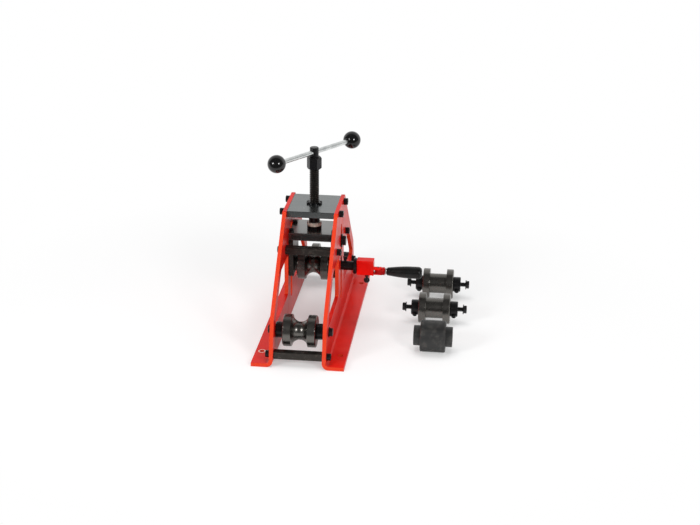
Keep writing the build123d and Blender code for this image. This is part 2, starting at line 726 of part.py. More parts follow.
cheek_bush = ring(bush_diameter, shaft_bore, CHEEK_THICKNESS)
with BuildPart() as shaft_bushes:
    with Locations((cheek_inner, 0, DRIVE_HEIGHT), (-carriage_outer, 0, DRIVE_HEIGHT)):
        add(cheek_bush)
save(shaft_bushes, "shaft_bushes")

# ---------------------------------------------------------------- screw seat on the carriage
with BuildPart() as screw_socket:
    with BuildSketch(Plane.XY.offset(carriage_top)):
        Circle(SOCKET_DIAMETER / 2)
        with PolarLocations(SOCKET_DIAMETER / 2, SOCKET_FLUTES):
            Circle(FLUTE_DIAMETER / 2, mode=Mode.SUBTRACT)
        Circle(SPIGOT_DIAMETER / 2 + RUNNING, mode=Mode.SUBTRACT)
    extrude(amount=SOCKET_HEIGHT)
save(screw_socket, "screw_socket")

with BuildPart() as thrust_bearing:
    with BuildSketch(Plane.XY.offset(socket_top)):
        Circle(SOCKET_DIAMETER / 2)
        Circle(SCREW_DIAMETER / 2 + RUNNING, mode=Mode.SUBTRACT)
    extrude(amount=BEARING_HEIGHT)
    chamfer(thrust_bearing.edges().group_by(Axis.Z)[-1].sort_by(Edge.length)[-1:], EDGE_BREAK)
    with BuildSketch(Plane.XY.offset(socket_top + BEARING_GROOVE_HEIGHT)):
        Circle(SOCKET_DIAMETER / 2)
        Circle(SOCKET_DIAMETER / 2 - BEARING_GROOVE, mode=Mode.SUBTRACT)
    extrude(amount=BEARING_GROOVE, mode=Mode.SUBTRACT)
    for index in range(BEARING_HOLES):
        turn = math.radians(index * 360 / BEARING_HOLES - 90)
        outwards = (math.cos(turn), math.sin(turn), 0)
        hole_height = socket_top + BEARING_HOLE_HEIGHT
        hole_reach = SOCKET_DIAMETER / 2 - BEARING_HOLE_DEPTH
        hole_origin = (hole_reach * outwards[0], hole_reach * outwards[1], hole_height)
        with BuildSketch(Plane(origin=hole_origin, x_dir=(0, 0, 1), z_dir=outwards)):
            Circle(BEARING_HOLE_DIAMETER / 2)
        extrude(amount=2 * BEARING_HOLE_DEPTH, mode=Mode.SUBTRACT)
save(thrust_bearing, "thrust_bearing")

# ---------------------------------------------------------------- pressure screw
spindle_end = cheek_top + CLIP_POCKET_DEPTH - PART_GAP - SPINDLE_CLIP_HEIGHT
head_pin_height = head_bottom + HEAD_SOCKET_DEPTH / 2
with BuildPart() as pressure_screw:
    with BuildSketch(Plane.XY.offset(socket_top + PART_GAP)):
        Circle(SCREW_DIAMETER / 2)
    extrude(amount=head_bottom - socket_top - PART_GAP)
    with BuildSketch(Plane.XY.offset(socket_top + PART_GAP)):
        Circle(SPIGOT_DIAMETER / 2)
    extrude(amount=spindle_end - socket_top - PART_GAP)
    with BuildSketch(Plane.XY.offset(head_bottom)):
        Circle(HEAD_SPIGOT_DIAMETER / 2)
    extrude(amount=HEAD_SOCKET_DEPTH)
    with BuildSketch(Plane.XZ.offset(-HEAD_FLATS)):
        with Locations((0, head_pin_height)):
            Circle(HEAD_PIN_DIAMETER / 2 + RUNNING)
    extrude(amount=2 * HEAD_FLATS, mode=Mode.SUBTRACT)
save(pressure_screw, "pressure_screw")

with BuildPart() as screw_lock_collar:
    with BuildSketch(Plane.XY.offset(bearing_top + FACE_GAP)):
        Circle(LOCK_COLLAR_DIAMETER / 2)
        Circle(SCREW_DIAMETER / 2 + RUNNING, mode=Mode.SUBTRACT)
    extrude(amount=LOCK_COLLAR_HEIGHT - FACE_GAP)
save(screw_lock_collar, "screw_lock_collar")

with BuildPart() as spindle_clip:
    with BuildSketch(Plane.XY.offset(spindle_end)):
        Circle(SPINDLE_CLIP_DIAMETER / 2)
        Circle(SPIGOT_DIAMETER / 2 + RUNNING, mode=Mode.SUBTRACT)
    extrude(amount=SPINDLE_CLIP_HEIGHT)
save(spindle_clip, "spindle_clip")

head_corner_radius = HEAD_FLATS / math.sqrt(3)
head_face_radius = HEX_FACE_SHARE * HEAD_FLATS
head_crown = (head_corner_radius - head_face_radius) * math.tan(math.radians(HEAD_CROWN_ANGLE))
bar_direction = (math.cos(math.radians(TOMMY_ANGLE)), math.sin(math.radians(TOMMY_ANGLE)), 0)
bar_plane = Plane(origin=(0, 0, bar_height), x_dir=(0, 0, 1), z_dir=bar_direction)
with BuildPart() as screw_head:
    with BuildSketch(Plane.XY.offset(head_bottom)):
        RegularPolygon(HEAD_FLATS / 2, 6, major_radius=False)
    extrude(amount=HEAD_HEIGHT)
    with BuildSketch(Plane.XZ):
        with BuildLine():
            Polyline(
                (0, head_bottom),
                (head_face_radius, head_bottom),
                (head_corner_radius, head_bottom + head_crown),
                (head_corner_radius, hub_bottom - head_crown),
                (head_face_radius, hub_bottom),
                (0, hub_bottom),
                close=True,
            )
        make_face()
    revolve(axis=Axis.Z, mode=Mode.INTERSECT)
    with BuildSketch(Plane.XY.offset(hub_bottom)):
        Circle(HUB_DIAMETER / 2)
    extrude(amount=HUB_HEIGHT)
    chamfer(screw_head.edges().group_by(Axis.Z)[-1], EDGE_BREAK)
    with BuildSketch(bar_plane):
        Circle(TOMMY_DIAMETER / 2 + RUNNING)
    extrude(amount=HUB_DIAMETER, both=True, mode=Mode.SUBTRACT)
    with BuildSketch(Plane.XY.offset(head_bottom)):
        Circle(HEAD_SPIGOT_DIAMETER / 2 + RUNNING)
    extrude(amount=HEAD_SOCKET_DEPTH + RUNNING, mode=Mode.SUBTRACT)
    with BuildSketch(Plane.XZ.offset(-HEAD_FLATS)):
        with Locations((0, head_pin_height)):
            Circle(HEAD_PIN_DIAMETER / 2 + RUNNING)
    extrude(amount=2 * HEAD_FLATS, mode=Mode.SUBTRACT)
save(screw_head, "screw_head")

with BuildPart() as head_pin:
    with BuildSketch(Plane.XZ):
        with Locations((0, head_pin_height)):
            Circle(HEAD_PIN_DIAMETER / 2)
    extrude(amount=HEAD_FLATS / 2 - EDGE_BREAK / 2, both=True)
save(head_pin, "head_pin")

# ---------------------------------------------------------------- tommy bar and its balls
with BuildPart() as tommy_bar:
    with BuildSketch(bar_plane.offset(TOMMY_OFFSET)):
        Circle(TOMMY_DIAMETER / 2)
    extrude(amount=TOMMY_REACH - BALL_DIAMETER / 2 + BALL_SEAT_DEPTH, both=True)
    chamfer(tommy_bar.edges().filter_by(GeomType.CIRCLE), EDGE_BREAK)
save(tommy_bar, "tommy_bar")

with BuildPart() as ball_knob:
    Sphere(BALL_DIAMETER / 2)
    with BuildSketch(Plane.YZ.offset(-BALL_DIAMETER / 2)):
        Rectangle(BALL_DIAMETER, BALL_DIAMETER)
    extrude(amount=BALL_FLAT, mode=Mode.SUBTRACT)
    with BuildSketch(Plane.YZ.offset(-BALL_DIAMETER / 2)):
        Circle(TOMMY_DIAMETER / 2 + RUNNING)
    extrude(amount=BALL_SEAT_DEPTH + EDGE_BREAK, mode=Mode.SUBTRACT)

with BuildPart() as ball_knobs:
    for reach, turn in ((TOMMY_OFFSET + TOMMY_REACH, 0), (TOMMY_OFFSET - TOMMY_REACH, 180)):
        ball_place = (reach * bar_direction[0], reach * bar_direction[1], bar_height)
        with Locations(Location(ball_place, (0, 0, TOMMY_ANGLE + turn))):
            add(ball_knob.part)
save(ball_knobs, "ball_knobs")

# ---------------------------------------------------------------- drive shaft and top roller
key_middle = DRIVE_HEIGHT + SHAFT_DIAMETER / 2
wheel_key_height = DRIVE_HEIGHT + NOSE_DIAMETER / 2
lock_screw_x = plate_outer + LOCK_SCREW_FROM_PLATE
clip_start = wheel_end + FACE_GAP / 2
with BuildPart() as drive_shaft:
    with BuildSketch(Plane.YZ.offset(-carriage_outer)):
        with Locations((0, DRIVE_HEIGHT)):
            Circle(SHAFT_DIAMETER / 2)
    extrude(amount=nose_start + carriage_outer)
    with BuildSketch(Plane.YZ.offset(nose_start)):
        with Locations((0, DRIVE_HEIGHT)):
            Circle(NOSE_DIAMETER / 2)
    extrude(amount=nose_end - nose_start)
    with BuildSketch(Plane.YZ.offset(-KEY_LENGTH / 2)):
        with Locations((0, key_middle)):
            Rectangle(KEY_SIZE + 2 * RUNNING, KEY_SIZE + 2 * RUNNING)
    extrude(amount=KEY_LENGTH, mode=Mode.SUBTRACT)
    with BuildSketch(Plane.YZ.offset(wheel_start)):
        with Locations((0, wheel_key_height)):
            Rectangle(WHEEL_KEY + 2 * RUNNING, WHEEL_KEY + 2 * RUNNING)
    extrude(amount=WHEEL_WIDTH, mode=Mode.SUBTRACT)
    with BuildSketch(Plane.YZ.offset(clip_start)):
        with Locations((0, DRIVE_HEIGHT)):
            Circle(NOSE_DIAMETER / 2)
            Circle(NOSE_DIAMETER / 2 - CLIP_GROOVE_DEPTH, mode=Mode.SUBTRACT)
    extrude(amount=CLIP_THICKNESS, mode=Mode.SUBTRACT)
save(drive_shaft, "drive_shaft")

half_top_die = cheek_inner - FACE_GAP
keyed_die = grooved_die(shaft_bore, COLLAR_DIAMETER, half_top_die - half_die)
with BuildPart() as top_die:
    with Locations((0, 0, DRIVE_HEIGHT)):
        add(keyed_die)
    with BuildSketch(Plane.YZ):
        with Locations((0, key_middle)):
            Rectangle(KEY_SIZE + 2 * RUNNING, KEY_SIZE + 2 * RUNNING)
    extrude(amount=half_top_die, both=True, mode=Mode.SUBTRACT)
save(top_die, "top_die")

with BuildPart() as drive_keys:
    with BuildSketch(Plane.YZ.offset(-KEY_LENGTH / 2)):
        with Locations((0, key_middle)):
            Rectangle(KEY_SIZE, KEY_SIZE)
    extrude(amount=KEY_LENGTH)
    with BuildSketch(Plane.YZ.offset(wheel_start)):
        with Locations((0, wheel_key_height)):
            Rectangle(WHEEL_KEY, WHEEL_KEY)
    extrude(amount=WHEEL_WIDTH)
save(drive_keys, "drive_keys")

with BuildPart() as drive_sleeve:
    with BuildSketch(Plane.YZ.offset(nose_start)):
        with Locations((0, DRIVE_HEIGHT)):
            Circle(SHAFT_DIAMETER / 2)
    extrude(amount=SLEEVE_LENGTH)
    with BuildSketch(Plane.YZ.offset(sleeve_end)):
        with Locations((0, DRIVE_HEIGHT)):
            Circle(SLEEVE_FLANGE_DIAMETER / 2)
    extrude(amount=SLEEVE_FLANGE_THICKNESS)
    chamfer(drive_sleeve.edges().filter_by(GeomType.CIRCLE).sort_by(Edge.length)[-2:], EDGE_BREAK)
    with BuildSketch(Plane.YZ.offset(nose_start)):
        with Locations((0, DRIVE_HEIGHT)):
            Circle(NOSE_DIAMETER / 2 + RUNNING)
    extrude(amount=flange_end - nose_start, mode=Mode.SUBTRACT)
    with BuildSketch(Plane.XY.offset(DRIVE_HEIGHT)):
        with Locations((lock_screw_x, 0)):
            Circle(LOCK_SCREW_DIAMETER / 2 + RUNNING)
    extrude(amount=SHAFT_DIAMETER, mode=Mode.SUBTRACT)
save(drive_sleeve, "drive_sleeve")

sleeve_top = DRIVE_HEIGHT + SHAFT_DIAMETER / 2
lock_screw_length = LOCK_SCREW_NECK + (SHAFT_DIAMETER - NOSE_DIAMETER) / 2 - RUNNING
lock_screw = hex_screw(LOCK_SCREW_FLATS, LOCK_SCREW_HEAD, LOCK_SCREW_DIAMETER, lock_screw_length)
with BuildPart() as sleeve_lock_screw:
    with Locations(Location((lock_screw_x, 0, sleeve_top + LOCK_SCREW_NECK), (0, -90, 0))):
        add(lock_screw)
save(sleeve_lock_screw, "sleeve_lock_screw")

with BuildPart() as ratchet_wheel:
    with BuildSketch(Plane.YZ.offset(wheel_start)):
        with Locations((0, DRIVE_HEIGHT)):
            Circle(WHEEL_RADIUS)
            with PolarLocations(WHEEL_RADIUS, WHEEL_NOTCHES, start_angle=-90):
                Rectangle(2 * WHEEL_NOTCH_DEPTH, WHEEL_NOTCH_WIDTH, mode=Mode.SUBTRACT)
            Circle(NOSE_DIAMETER / 2 + RUNNING, mode=Mode.SUBTRACT)
        with Locations((0, wheel_key_height)):
            Rectangle(WHEEL_KEY + 2 * RUNNING, WHEEL_KEY + 2 * RUNNING, mode=Mode.SUBTRACT)
    extrude(amount=WHEEL_WIDTH)
save(ratchet_wheel, "ratchet_wheel")

wheel_clip = ring(CLIP_DIAMETER, NOSE_DIAMETER - 2 * CLIP_GROOVE_DEPTH + 2 * RUNNING, CLIP_THICKNESS)
with BuildPart() as shaft_end_clip:
    with Locations((clip_start, 0, DRIVE_HEIGHT)):
        add(wheel_clip)
save(shaft_end_clip, "shaft_end_clip")

# ---------------------------------------------------------------- ratchet head
ear_slot = TONGUE_THICKNESS + 2 * PART_GAP
with BuildPart() as ratchet_housing:
    with BuildSketch(Plane.YZ.offset(housing_start)):
        with Locations((0, DRIVE_HEIGHT)):
            Rectangle(HOUSING_DEPTH, HOUSING_HEIGHT)
    extrude(amount=HOUSING_LENGTH)
    fillet(ratchet_housing.edges(), HOUSING_EDGE)
    with BuildSketch(Plane.XY.offset(handle_height)):
        with Locations(((housing_end + hinge_x) / 2 - HOUSING_EDGE, 0)):
            Rectangle(HINGE_FROM_HOUSING + 2 * HOUSING_EDGE, 2 * EAR_RADIUS)
        with Locations((hinge_x, 0)):
            Circle(EAR_RADIUS)
    extrude(amount=NECK_RADIUS, both=True)
    with BuildSketch(Plane.XY.offset(handle_height)):
        with Locations((hinge_x, 0)):
            Rectangle(2 * HINGE_FROM_HOUSING, 4 * EAR_RADIUS)
    extrude(amount=ear_slot / 2, both=True, mode=Mode.SUBTRACT)
    with BuildSketch(Plane.YZ.offset(housing_end)):
        with Locations((0, handle_height)):
            Rectangle(4 * NECK_RADIUS, 4 * NECK_RADIUS)
            Circle(NECK_RADIUS, mode=Mode.SUBTRACT)
    extrude(amount=HINGE_FROM_HOUSING + 2 * EAR_RADIUS, mode=Mode.SUBTRACT)
    with BuildSketch(Plane.YZ.offset(housing_start)):
        with Locations((0, DRIVE_HEIGHT)):
            Circle(cavity_radius)
    extrude(amount=cavity_end - housing_start, mode=Mode.SUBTRACT)
    with BuildSketch(Plane.YZ.offset(cavity_end)):
        with Locations((0, DRIVE_HEIGHT)):
            Circle(NOSE_DIAMETER / 2 + RUNNING)
    extrude(amount=nose_end + PART_GAP - cavity_end, mode=Mode.SUBTRACT)
    with BuildSketch(Plane.XY.offset(housing_bottom)):
        with Locations((wheel_middle, 0)):
            Circle(GUIDE_TUBE_DIAMETER / 2 + RUNNING)
    extrude(amount=HOUSING_HEIGHT / 2, mode=Mode.SUBTRACT)
    with BuildSketch(Plane.XY.offset(handle_height)):
        with Locations((hinge_x, 0)):
            Circle(HINGE_PIN_DIAMETER / 2 + RUNNING)
    extrude(amount=2 * NECK_RADIUS, both=True, mode=Mode.SUBTRACT)
save(ratchet_housing, "ratchet_housing")

housing_bush_length = wheel_start - PART_GAP - housing_start
bearing_bush = ring(
    2 * (cavity_radius - RUNNING), NOSE_DIAMETER + 2 * RUNNING, housing_bush_length
)
with BuildPart() as housing_bush:
    with Locations((housing_start, 0, DRIVE_HEIGHT)):
        add(bearing_bush)
save(housing_bush, "housing_bush")

with BuildPart() as handle_hinge_pin:
    with BuildSketch(Plane.XY.offset(handle_height)):
        with Locations((hinge_x, 0)):
            Circle(HINGE_PIN_DIAMETER / 2)
    extrude(amount=NECK_RADIUS, both=True)
save(handle_hinge_pin, "handle_hinge_pin")

with BuildPart() as plunger_guide:
    with BuildSketch(Plane.XY.offset(guide_tube_bottom)):
        with Locations((wheel_middle, 0)):
            Circle(GUIDE_TUBE_DIAMETER / 2)
    extrude(amount=guide_tube_top - guide_tube_bottom)
    with BuildSketch(Plane.XY.offset(spring_bottom)):
        with Locations((wheel_middle, 0)):
            Circle(PAWL_HEAD_DIAMETER / 2 + RUNNING)
    extrude(amount=guide_tube_top - spring_bottom, mode=Mode.SUBTRACT)
    with BuildSketch(Plane.XY.offset(guide_tube_bottom)):
        with Locations((wheel_middle, 0)):
            Circle(PLUNGER_ROD_DIAMETER / 2 + RUNNING)
    extrude(amount=GUIDE_TUBE_FLOOR, mode=Mode.SUBTRACT)
save(plunger_guide, "plunger_guide")

# The spring is pressed between the guide tube's floor and the pawl head.
spring_length = pawl_head_bottom - spring_bottom
coil_radius = (PAWL_HEAD_DIAMETER - PART_GAP - SPRING_WIRE) / 2
coil_height = spring_length - SPRING_WIRE - 2 * RUNNING
with BuildPart() as plunger_spring:
    with BuildLine(Plane(origin=(wheel_middle, 0, spring_bottom + SPRING_WIRE / 2 + RUNNING))):
        coil = Helix(coil_height / SPRING_TURNS, coil_height, coil_radius)
    with BuildSketch(Plane(origin=coil @ 0, z_dir=coil % 0)):
        Circle(SPRING_WIRE / 2)
    sweep(path=coil, is_frenet=True)
save(plunger_spring, "plunger_spring")

# ---------------------------------------------------------------- pawl plunger
with BuildPart() as pawl_plunger:
    with BuildSketch(Plane.XY.offset(knob_height)):
        with Locations((wheel_middle, 0)):
            Circle(PLUNGER_ROD_DIAMETER / 2)
    extrude(amount=pawl_head_bottom - knob_height)
    with BuildSketch(Plane.XY.offset(pawl_head_bottom)):
        with Locations((wheel_middle, 0)):
            Circle(PAWL_HEAD_DIAMETER / 2)
    extrude(amount=PAWL_HEAD_HEIGHT)
    with BuildSketch(Plane.XY.offset(pawl_blade_bottom)):
        with Locations((wheel_middle, 0)):
            Rectangle(PAWL_BLADE_LENGTH, PAWL_BLADE_THICKNESS)
    extrude(amount=PAWL_BLADE_HEIGHT)
    tip_edge = pawl_plunger.edges().filter_by(Axis.X).group_by(Axis.Z)[-1].sort_by(Axis.Y)[-1]
    chamfer(tip_edge, PAWL_BLADE_BEVEL)
save(pawl_plunger, "pawl_plunger")

with BuildPart() as plunger_knob:
    with Locations((wheel_middle, 0, knob_height)):
        Sphere(KNOB_DIAMETER / 2)
    with BuildSketch(Plane.XY.offset(knob_height)):
        with Locations((wheel_middle, 0)):
            Circle(PLUNGER_ROD_DIAMETER / 2 + RUNNING)
    extrude(amount=KNOB_DIAMETER, mode=Mode.SUBTRACT)
    with BuildSketch(Plane.XY.offset(guide_tube_bottom - PLUNGER_TRAVEL - PART_GAP)):
        with Locations((wheel_middle, 0)):
            Circle(KNOB_DIAMETER / 2)
    extrude(amount=KNOB_DIAMETER, mode=Mode.SUBTRACT)
save(plunger_knob, "plunger_knob")

# ---------------------------------------------------------------- folding handle
with BuildPart() as handle_tongue:
    with BuildSketch(Plane.XY.offset(handle_height)):
        with Locations(((hinge_x + neck_collar_start) / 2, 0)):
            Rectangle(neck_collar_start - hinge_x, 2 * EAR_RADIUS)
        with Locations((hinge_x, 0)):
            Circle(TONGUE_ROOT_RADIUS)
    extrude(amount=TONGUE_THICKNESS / 2, both=True)
    with BuildSketch(Plane.YZ.offset(neck_collar_start)):
        with Locations((0, handle_height)):
            Circle(NECK_COLLAR_DIAMETER / 2)
    extrude(amount=NECK_COLLAR_LENGTH)
    with BuildSketch(Plane.YZ.offset(neck_collar_end - ROD_IN_COLLAR)):
        with Locations((0, handle_height)):
            Circle(ROD_DIAMETER / 2 + RUNNING)
    extrude(amount=ROD_IN_COLLAR, mode=Mode.SUBTRACT)
    with BuildSketch(Plane.XY.offset(handle_height)):
        with Locations((hinge_x, 0)):
            Circle(HINGE_PIN_DIAMETER / 2 + RUNNING)
    extrude(amount=TONGUE_THICKNESS, both=True, mode=Mode.SUBTRACT)
save(handle_tongue, "handle_tongue")

with BuildPart() as handle_rod:
    with BuildSketch(Plane.YZ.offset(neck_collar_end - ROD_IN_COLLAR)):
        with Locations((0, handle_height)):
            Circle(ROD_DIAMETER / 2)
    extrude(amount=ROD_IN_COLLAR + FERRULE_LENGTH + ROD_IN_GRIP)
save(handle_rod, "handle_rod")

handle_ring = ring(FERRULE_DIAMETER, ROD_DIAMETER + 2 * RUNNING, FERRULE_LENGTH)
with BuildPart() as handle_ferrule:
    with Locations((neck_collar_end, 0, handle_height)):
        add(handle_ring)
save(handle_ferrule, "handle_ferrule")

with BuildPart() as handle_grip:
    with BuildSketch(Plane.XY.offset(handle_height)):
        with BuildLine():
            Line((ferrule_end, 0), (ferrule_end, GRIP_START_RADIUS))
            Spline(
                (ferrule_end, GRIP_START_RADIUS),
                (ferrule_end + GRIP_TAPER_LENGTH, GRIP_FULL_RADIUS),
                tangents=((1, GRIP_START_SLOPE), (1, 0)),
            )
            Line(
                (ferrule_end + GRIP_TAPER_LENGTH, GRIP_FULL_RADIUS),
                (grip_end - GRIP_END_ROUND, GRIP_FULL_RADIUS),
            )
            RadiusArc(
                (grip_end - GRIP_END_ROUND, GRIP_FULL_RADIUS),
                (grip_end, GRIP_FULL_RADIUS - GRIP_END_ROUND),
                GRIP_END_ROUND,
            )
            Line((grip_end, GRIP_FULL_RADIUS - GRIP_END_ROUND), (grip_end, 0))
            Line((grip_end, 0), (ferrule_end, 0))
        make_face()
    revolve(axis=Axis((0, 0, handle_height), (1, 0, 0)))
    with BuildSketch(Plane.YZ.offset(ferrule_end)):
        with Locations((0, handle_height)):
            Circle(ROD_DIAMETER / 2 + RUNNING)
    extrude(amount=ROD_IN_GRIP + EDGE_BREAK, mode=Mode.SUBTRACT)
save(handle_grip, "handle_grip")

# ---------------------------------------------------------------- loose rollers beside the machine
loose_collar = collar(SET_SCREW_TILT)
loose_screw = set_screw(M6_DIAMETER, SET_SCREW_LENGTH, SET_SCREW_SOCKET)
loose_bolt = hex_screw(M10_FLATS, M10_HEAD, M10_DIAMETER, LOOSE_BOLT_STANDOFF + M10_GRIP / 2)
with BuildPart() as flat_groove_die:
    with BuildSketch(Plane.YZ):
        Circle(RIM_RADIUS)
    extrude(amount=half_die, both=True)
    chamfer(flat_groove_die.edges().filter_by(GeomType.CIRCLE), RIM_CHAMFER)
    with BuildSketch(Plane.YZ):
        Circle(RIM_RADIUS)
        Circle(LOOSE_CORE_RADIUS, mode=Mode.SUBTRACT)
    extrude(amount=half_die - LOOSE_RIM_WIDTH, both=True, mode=Mode.SUBTRACT)
    with BuildSketch(Plane.YZ):
        Circle(shaft_bore / 2)
    extrude(amount=half_die, both=True, mode=Mode.SUBTRACT)

for letter, (x, y) in (("a", LOOSE_SET_A), ("b", LOOSE_SET_B)):
    with BuildPart() as loose_die:
        with Locations((x, y, RIM_RADIUS)):
            add(flat_groove_die.part)
    save(loose_die, f"spare_{letter}_die")

    with BuildPart() as loose_axle:
        with Locations((x, y, RIM_RADIUS)):
            add(bottom_axle)
    save(loose_axle, f"spare_{letter}_axle")

    with BuildPart() as loose_collars:
        with Locations(
            (x + half_gap - collar_width, y, RIM_RADIUS),
            (x - half_gap, y, RIM_RADIUS),
        ):
            add(loose_collar)
    save(loose_collars, f"spare_{letter}_collars")

    bolt_seat = half_gap + LOOSE_BOLT_STANDOFF
    with BuildPart() as loose_bolts:
        with Locations(Location((x + bolt_seat, y, RIM_RADIUS))):
            add(loose_bolt)
        with Locations(Location((x - bolt_seat, y, RIM_RADIUS), (0, 0, 180))):
            add(loose_bolt)
        with Locations(
            (x + bolt_seat - WASHER_THICKNESS, y, RIM_RADIUS),
            (x - bolt_seat + RUNNING, y, RIM_RADIUS),
        ):
            add(washer)
        for screw_x in (x + half_gap - collar_width / 2, x - half_gap + collar_width / 2):
            screw_axis = screw_plane(screw_x, y, RIM_RADIUS, SET_SCREW_TILT)
            with Locations(screw_axis.offset(shaft_bore / 2).location):
                add(loose_screw)
    save(loose_bolts, f"spare_{letter}_fasteners")

with BuildPart() as spare_drum:
    with BuildSketch(Plane.YZ.offset(DRUM_CENTRE[0])):
        with Locations((DRUM_CENTRE[1], RIM_RADIUS)):
            Circle(RIM_RADIUS)
    extrude(amount=DRUM_WIDTH / 2, both=True)
    chamfer(spare_drum.edges().filter_by(GeomType.CIRCLE), RIM_CHAMFER)
    with BuildSketch(Plane.YZ.offset(DRUM_CENTRE[0])):
        with Locations((DRUM_CENTRE[1], RIM_RADIUS)):
            Circle(DRUM_HUB_DIAMETER / 2)
    extrude(amount=DRUM_WIDTH / 2 + DRUM_HUB_WIDTH, both=True)
    with BuildSketch(Plane.YZ.offset(DRUM_CENTRE[0])):
        with Locations((DRUM_CENTRE[1], RIM_RADIUS)):
            Circle(shaft_bore / 2)
    extrude(amount=DRUM_WIDTH / 2 + DRUM_HUB_WIDTH, both=True, mode=Mode.SUBTRACT)
save(spare_drum, "spare_drum")
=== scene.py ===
"""Dresses a bench ring roller: red side plates, black rollers, pressure screw and drive head."""

import logging
import math
from collections.abc import Callable, Mapping, Sequence
from dataclasses import dataclass
from enum import Enum

import bmesh
import bpy
from mathutils import Matrix, Vector


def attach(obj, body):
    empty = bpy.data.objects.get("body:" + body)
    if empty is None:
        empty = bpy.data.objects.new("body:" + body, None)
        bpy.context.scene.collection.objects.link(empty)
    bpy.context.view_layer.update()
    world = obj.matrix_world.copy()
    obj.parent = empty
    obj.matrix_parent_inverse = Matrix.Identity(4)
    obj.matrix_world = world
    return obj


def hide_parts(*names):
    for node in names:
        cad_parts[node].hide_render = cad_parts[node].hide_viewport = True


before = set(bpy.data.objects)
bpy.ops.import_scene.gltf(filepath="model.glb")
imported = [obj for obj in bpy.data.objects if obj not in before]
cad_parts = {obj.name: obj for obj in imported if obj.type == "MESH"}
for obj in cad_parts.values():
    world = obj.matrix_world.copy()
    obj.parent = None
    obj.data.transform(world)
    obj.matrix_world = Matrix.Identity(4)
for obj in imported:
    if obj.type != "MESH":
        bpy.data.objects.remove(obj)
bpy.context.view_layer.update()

LOG = logging.getLogger("ring_roller")

MM = 0.001
PHOTO_SIZE = (700, 525)
SENSOR_WIDTH = 36.0
WELD_DISTANCE = 2e-6
MESH_WELD = 1e-4
FLAT_ANGLE = math.radians(0.4)
EDGE_ANGLE = math.radians(28)
SHARP_ANGLE = math.radians(38)
EASE_SEGMENTS = 2
ROUND_PROFILE = 0.5
RUNNING = 0.05
SIXTH = math.pi / 3

Colour = tuple[float, float, float]
Point = tuple[float, float, float]
Range = tuple[float, float]
Reach = float | Callable[[float], float]
Station = tuple[Reach, Reach]


class Body(Enum):
    """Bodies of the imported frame."""

    FRAME = "frame"
    FRONT_ROLLER = "front_roller"
    REAR_ROLLER = "rear_roller"
    CARRIAGE = "carriage"
    SCREW = "screw"
    TOMMY_BAR = "tommy_bar"
    DRIVE_ROLLER = "drive_roller"
    RATCHET_HEAD = "ratchet_head"
    PLUNGER = "plunger"
    HANDLE = "handle"
    SPARE_SET_A = "spare_set_a"
    SPARE_ROLLER_A = "spare_roller_a"
    SPARE_SET_B = "spare_set_b"
    SPARE_ROLLER_B = "spare_roller_b"
    SPARE_DRUM = "spare_drum"


class Slot(Enum):
    """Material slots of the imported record."""

    RED_PAINT = "red_paint"
    DARK_PLATE = "dark_plate"
    DARK_STEEL = "dark_steel"
    BLACKED_ROLLERS = "blacked_rollers"
    BLACK_STEEL = "black_steel"
    BRIGHT_STEEL = "bright_steel"
    BRONZE = "bronze"
    BLACK_BALL = "black_ball"
    BLACK_GRIP = "black_grip"


class Kind(Enum):
    """What a shader socket carries."""

    NUMBER = "number"
    VECTOR = "vector"
    COLOUR = "colour"


# ------------------------------------------------------------------ shader expressions
class Wire:
    """A node's output that takes part in Python expressions.

    Numbers are joined by Math nodes, vectors by Vector Math nodes and colours by Mix nodes.
    """

    def __init__(self, graph: "Graph", socket: bpy.types.NodeSocket, kind: Kind) -> None:
        """Hold a socket.

        Args:
            graph: The graph that it belongs to.
            socket: The node's output.
            kind: What it carries.
        """
        self.graph = graph
        self.socket = socket
        self.kind = kind

    def __add__(self, other: "Value") -> "Wire":
        """Sum."""
        return self.graph.join("ADD", self, other)

    def __radd__(self, other: "Value") -> "Wire":
        """Sum, reflected."""
        return self.graph.join("ADD", other, self)

    def __sub__(self, other: "Value") -> "Wire":
        """Difference."""
        return self.graph.join("SUBTRACT", self, other)

    def __rsub__(self, other: "Value") -> "Wire":
        """Difference, reflected."""
        return self.graph.join("SUBTRACT", other, self)

    def __mul__(self, other: "Value") -> "Wire":
        """Product."""
        return self.graph.join("MULTIPLY", self, other)

    def __rmul__(self, other: "Value") -> "Wire":
        """Product, reflected."""
        return self.graph.join("MULTIPLY", other, self)

    def __truediv__(self, other: "Value") -> "Wire":
        """Quotient."""
        return self.graph.join("DIVIDE", self, other)

    def __rtruediv__(self, other: "Value") -> "Wire":
        """Quotient, reflected."""
        return self.graph.join("DIVIDE", other, self)

    def __pow__(self, other: "Value") -> "Wire":
        """Power of a number."""
        return self.graph.join("POWER", self, other)


Value = Wire | float | Sequence[float]


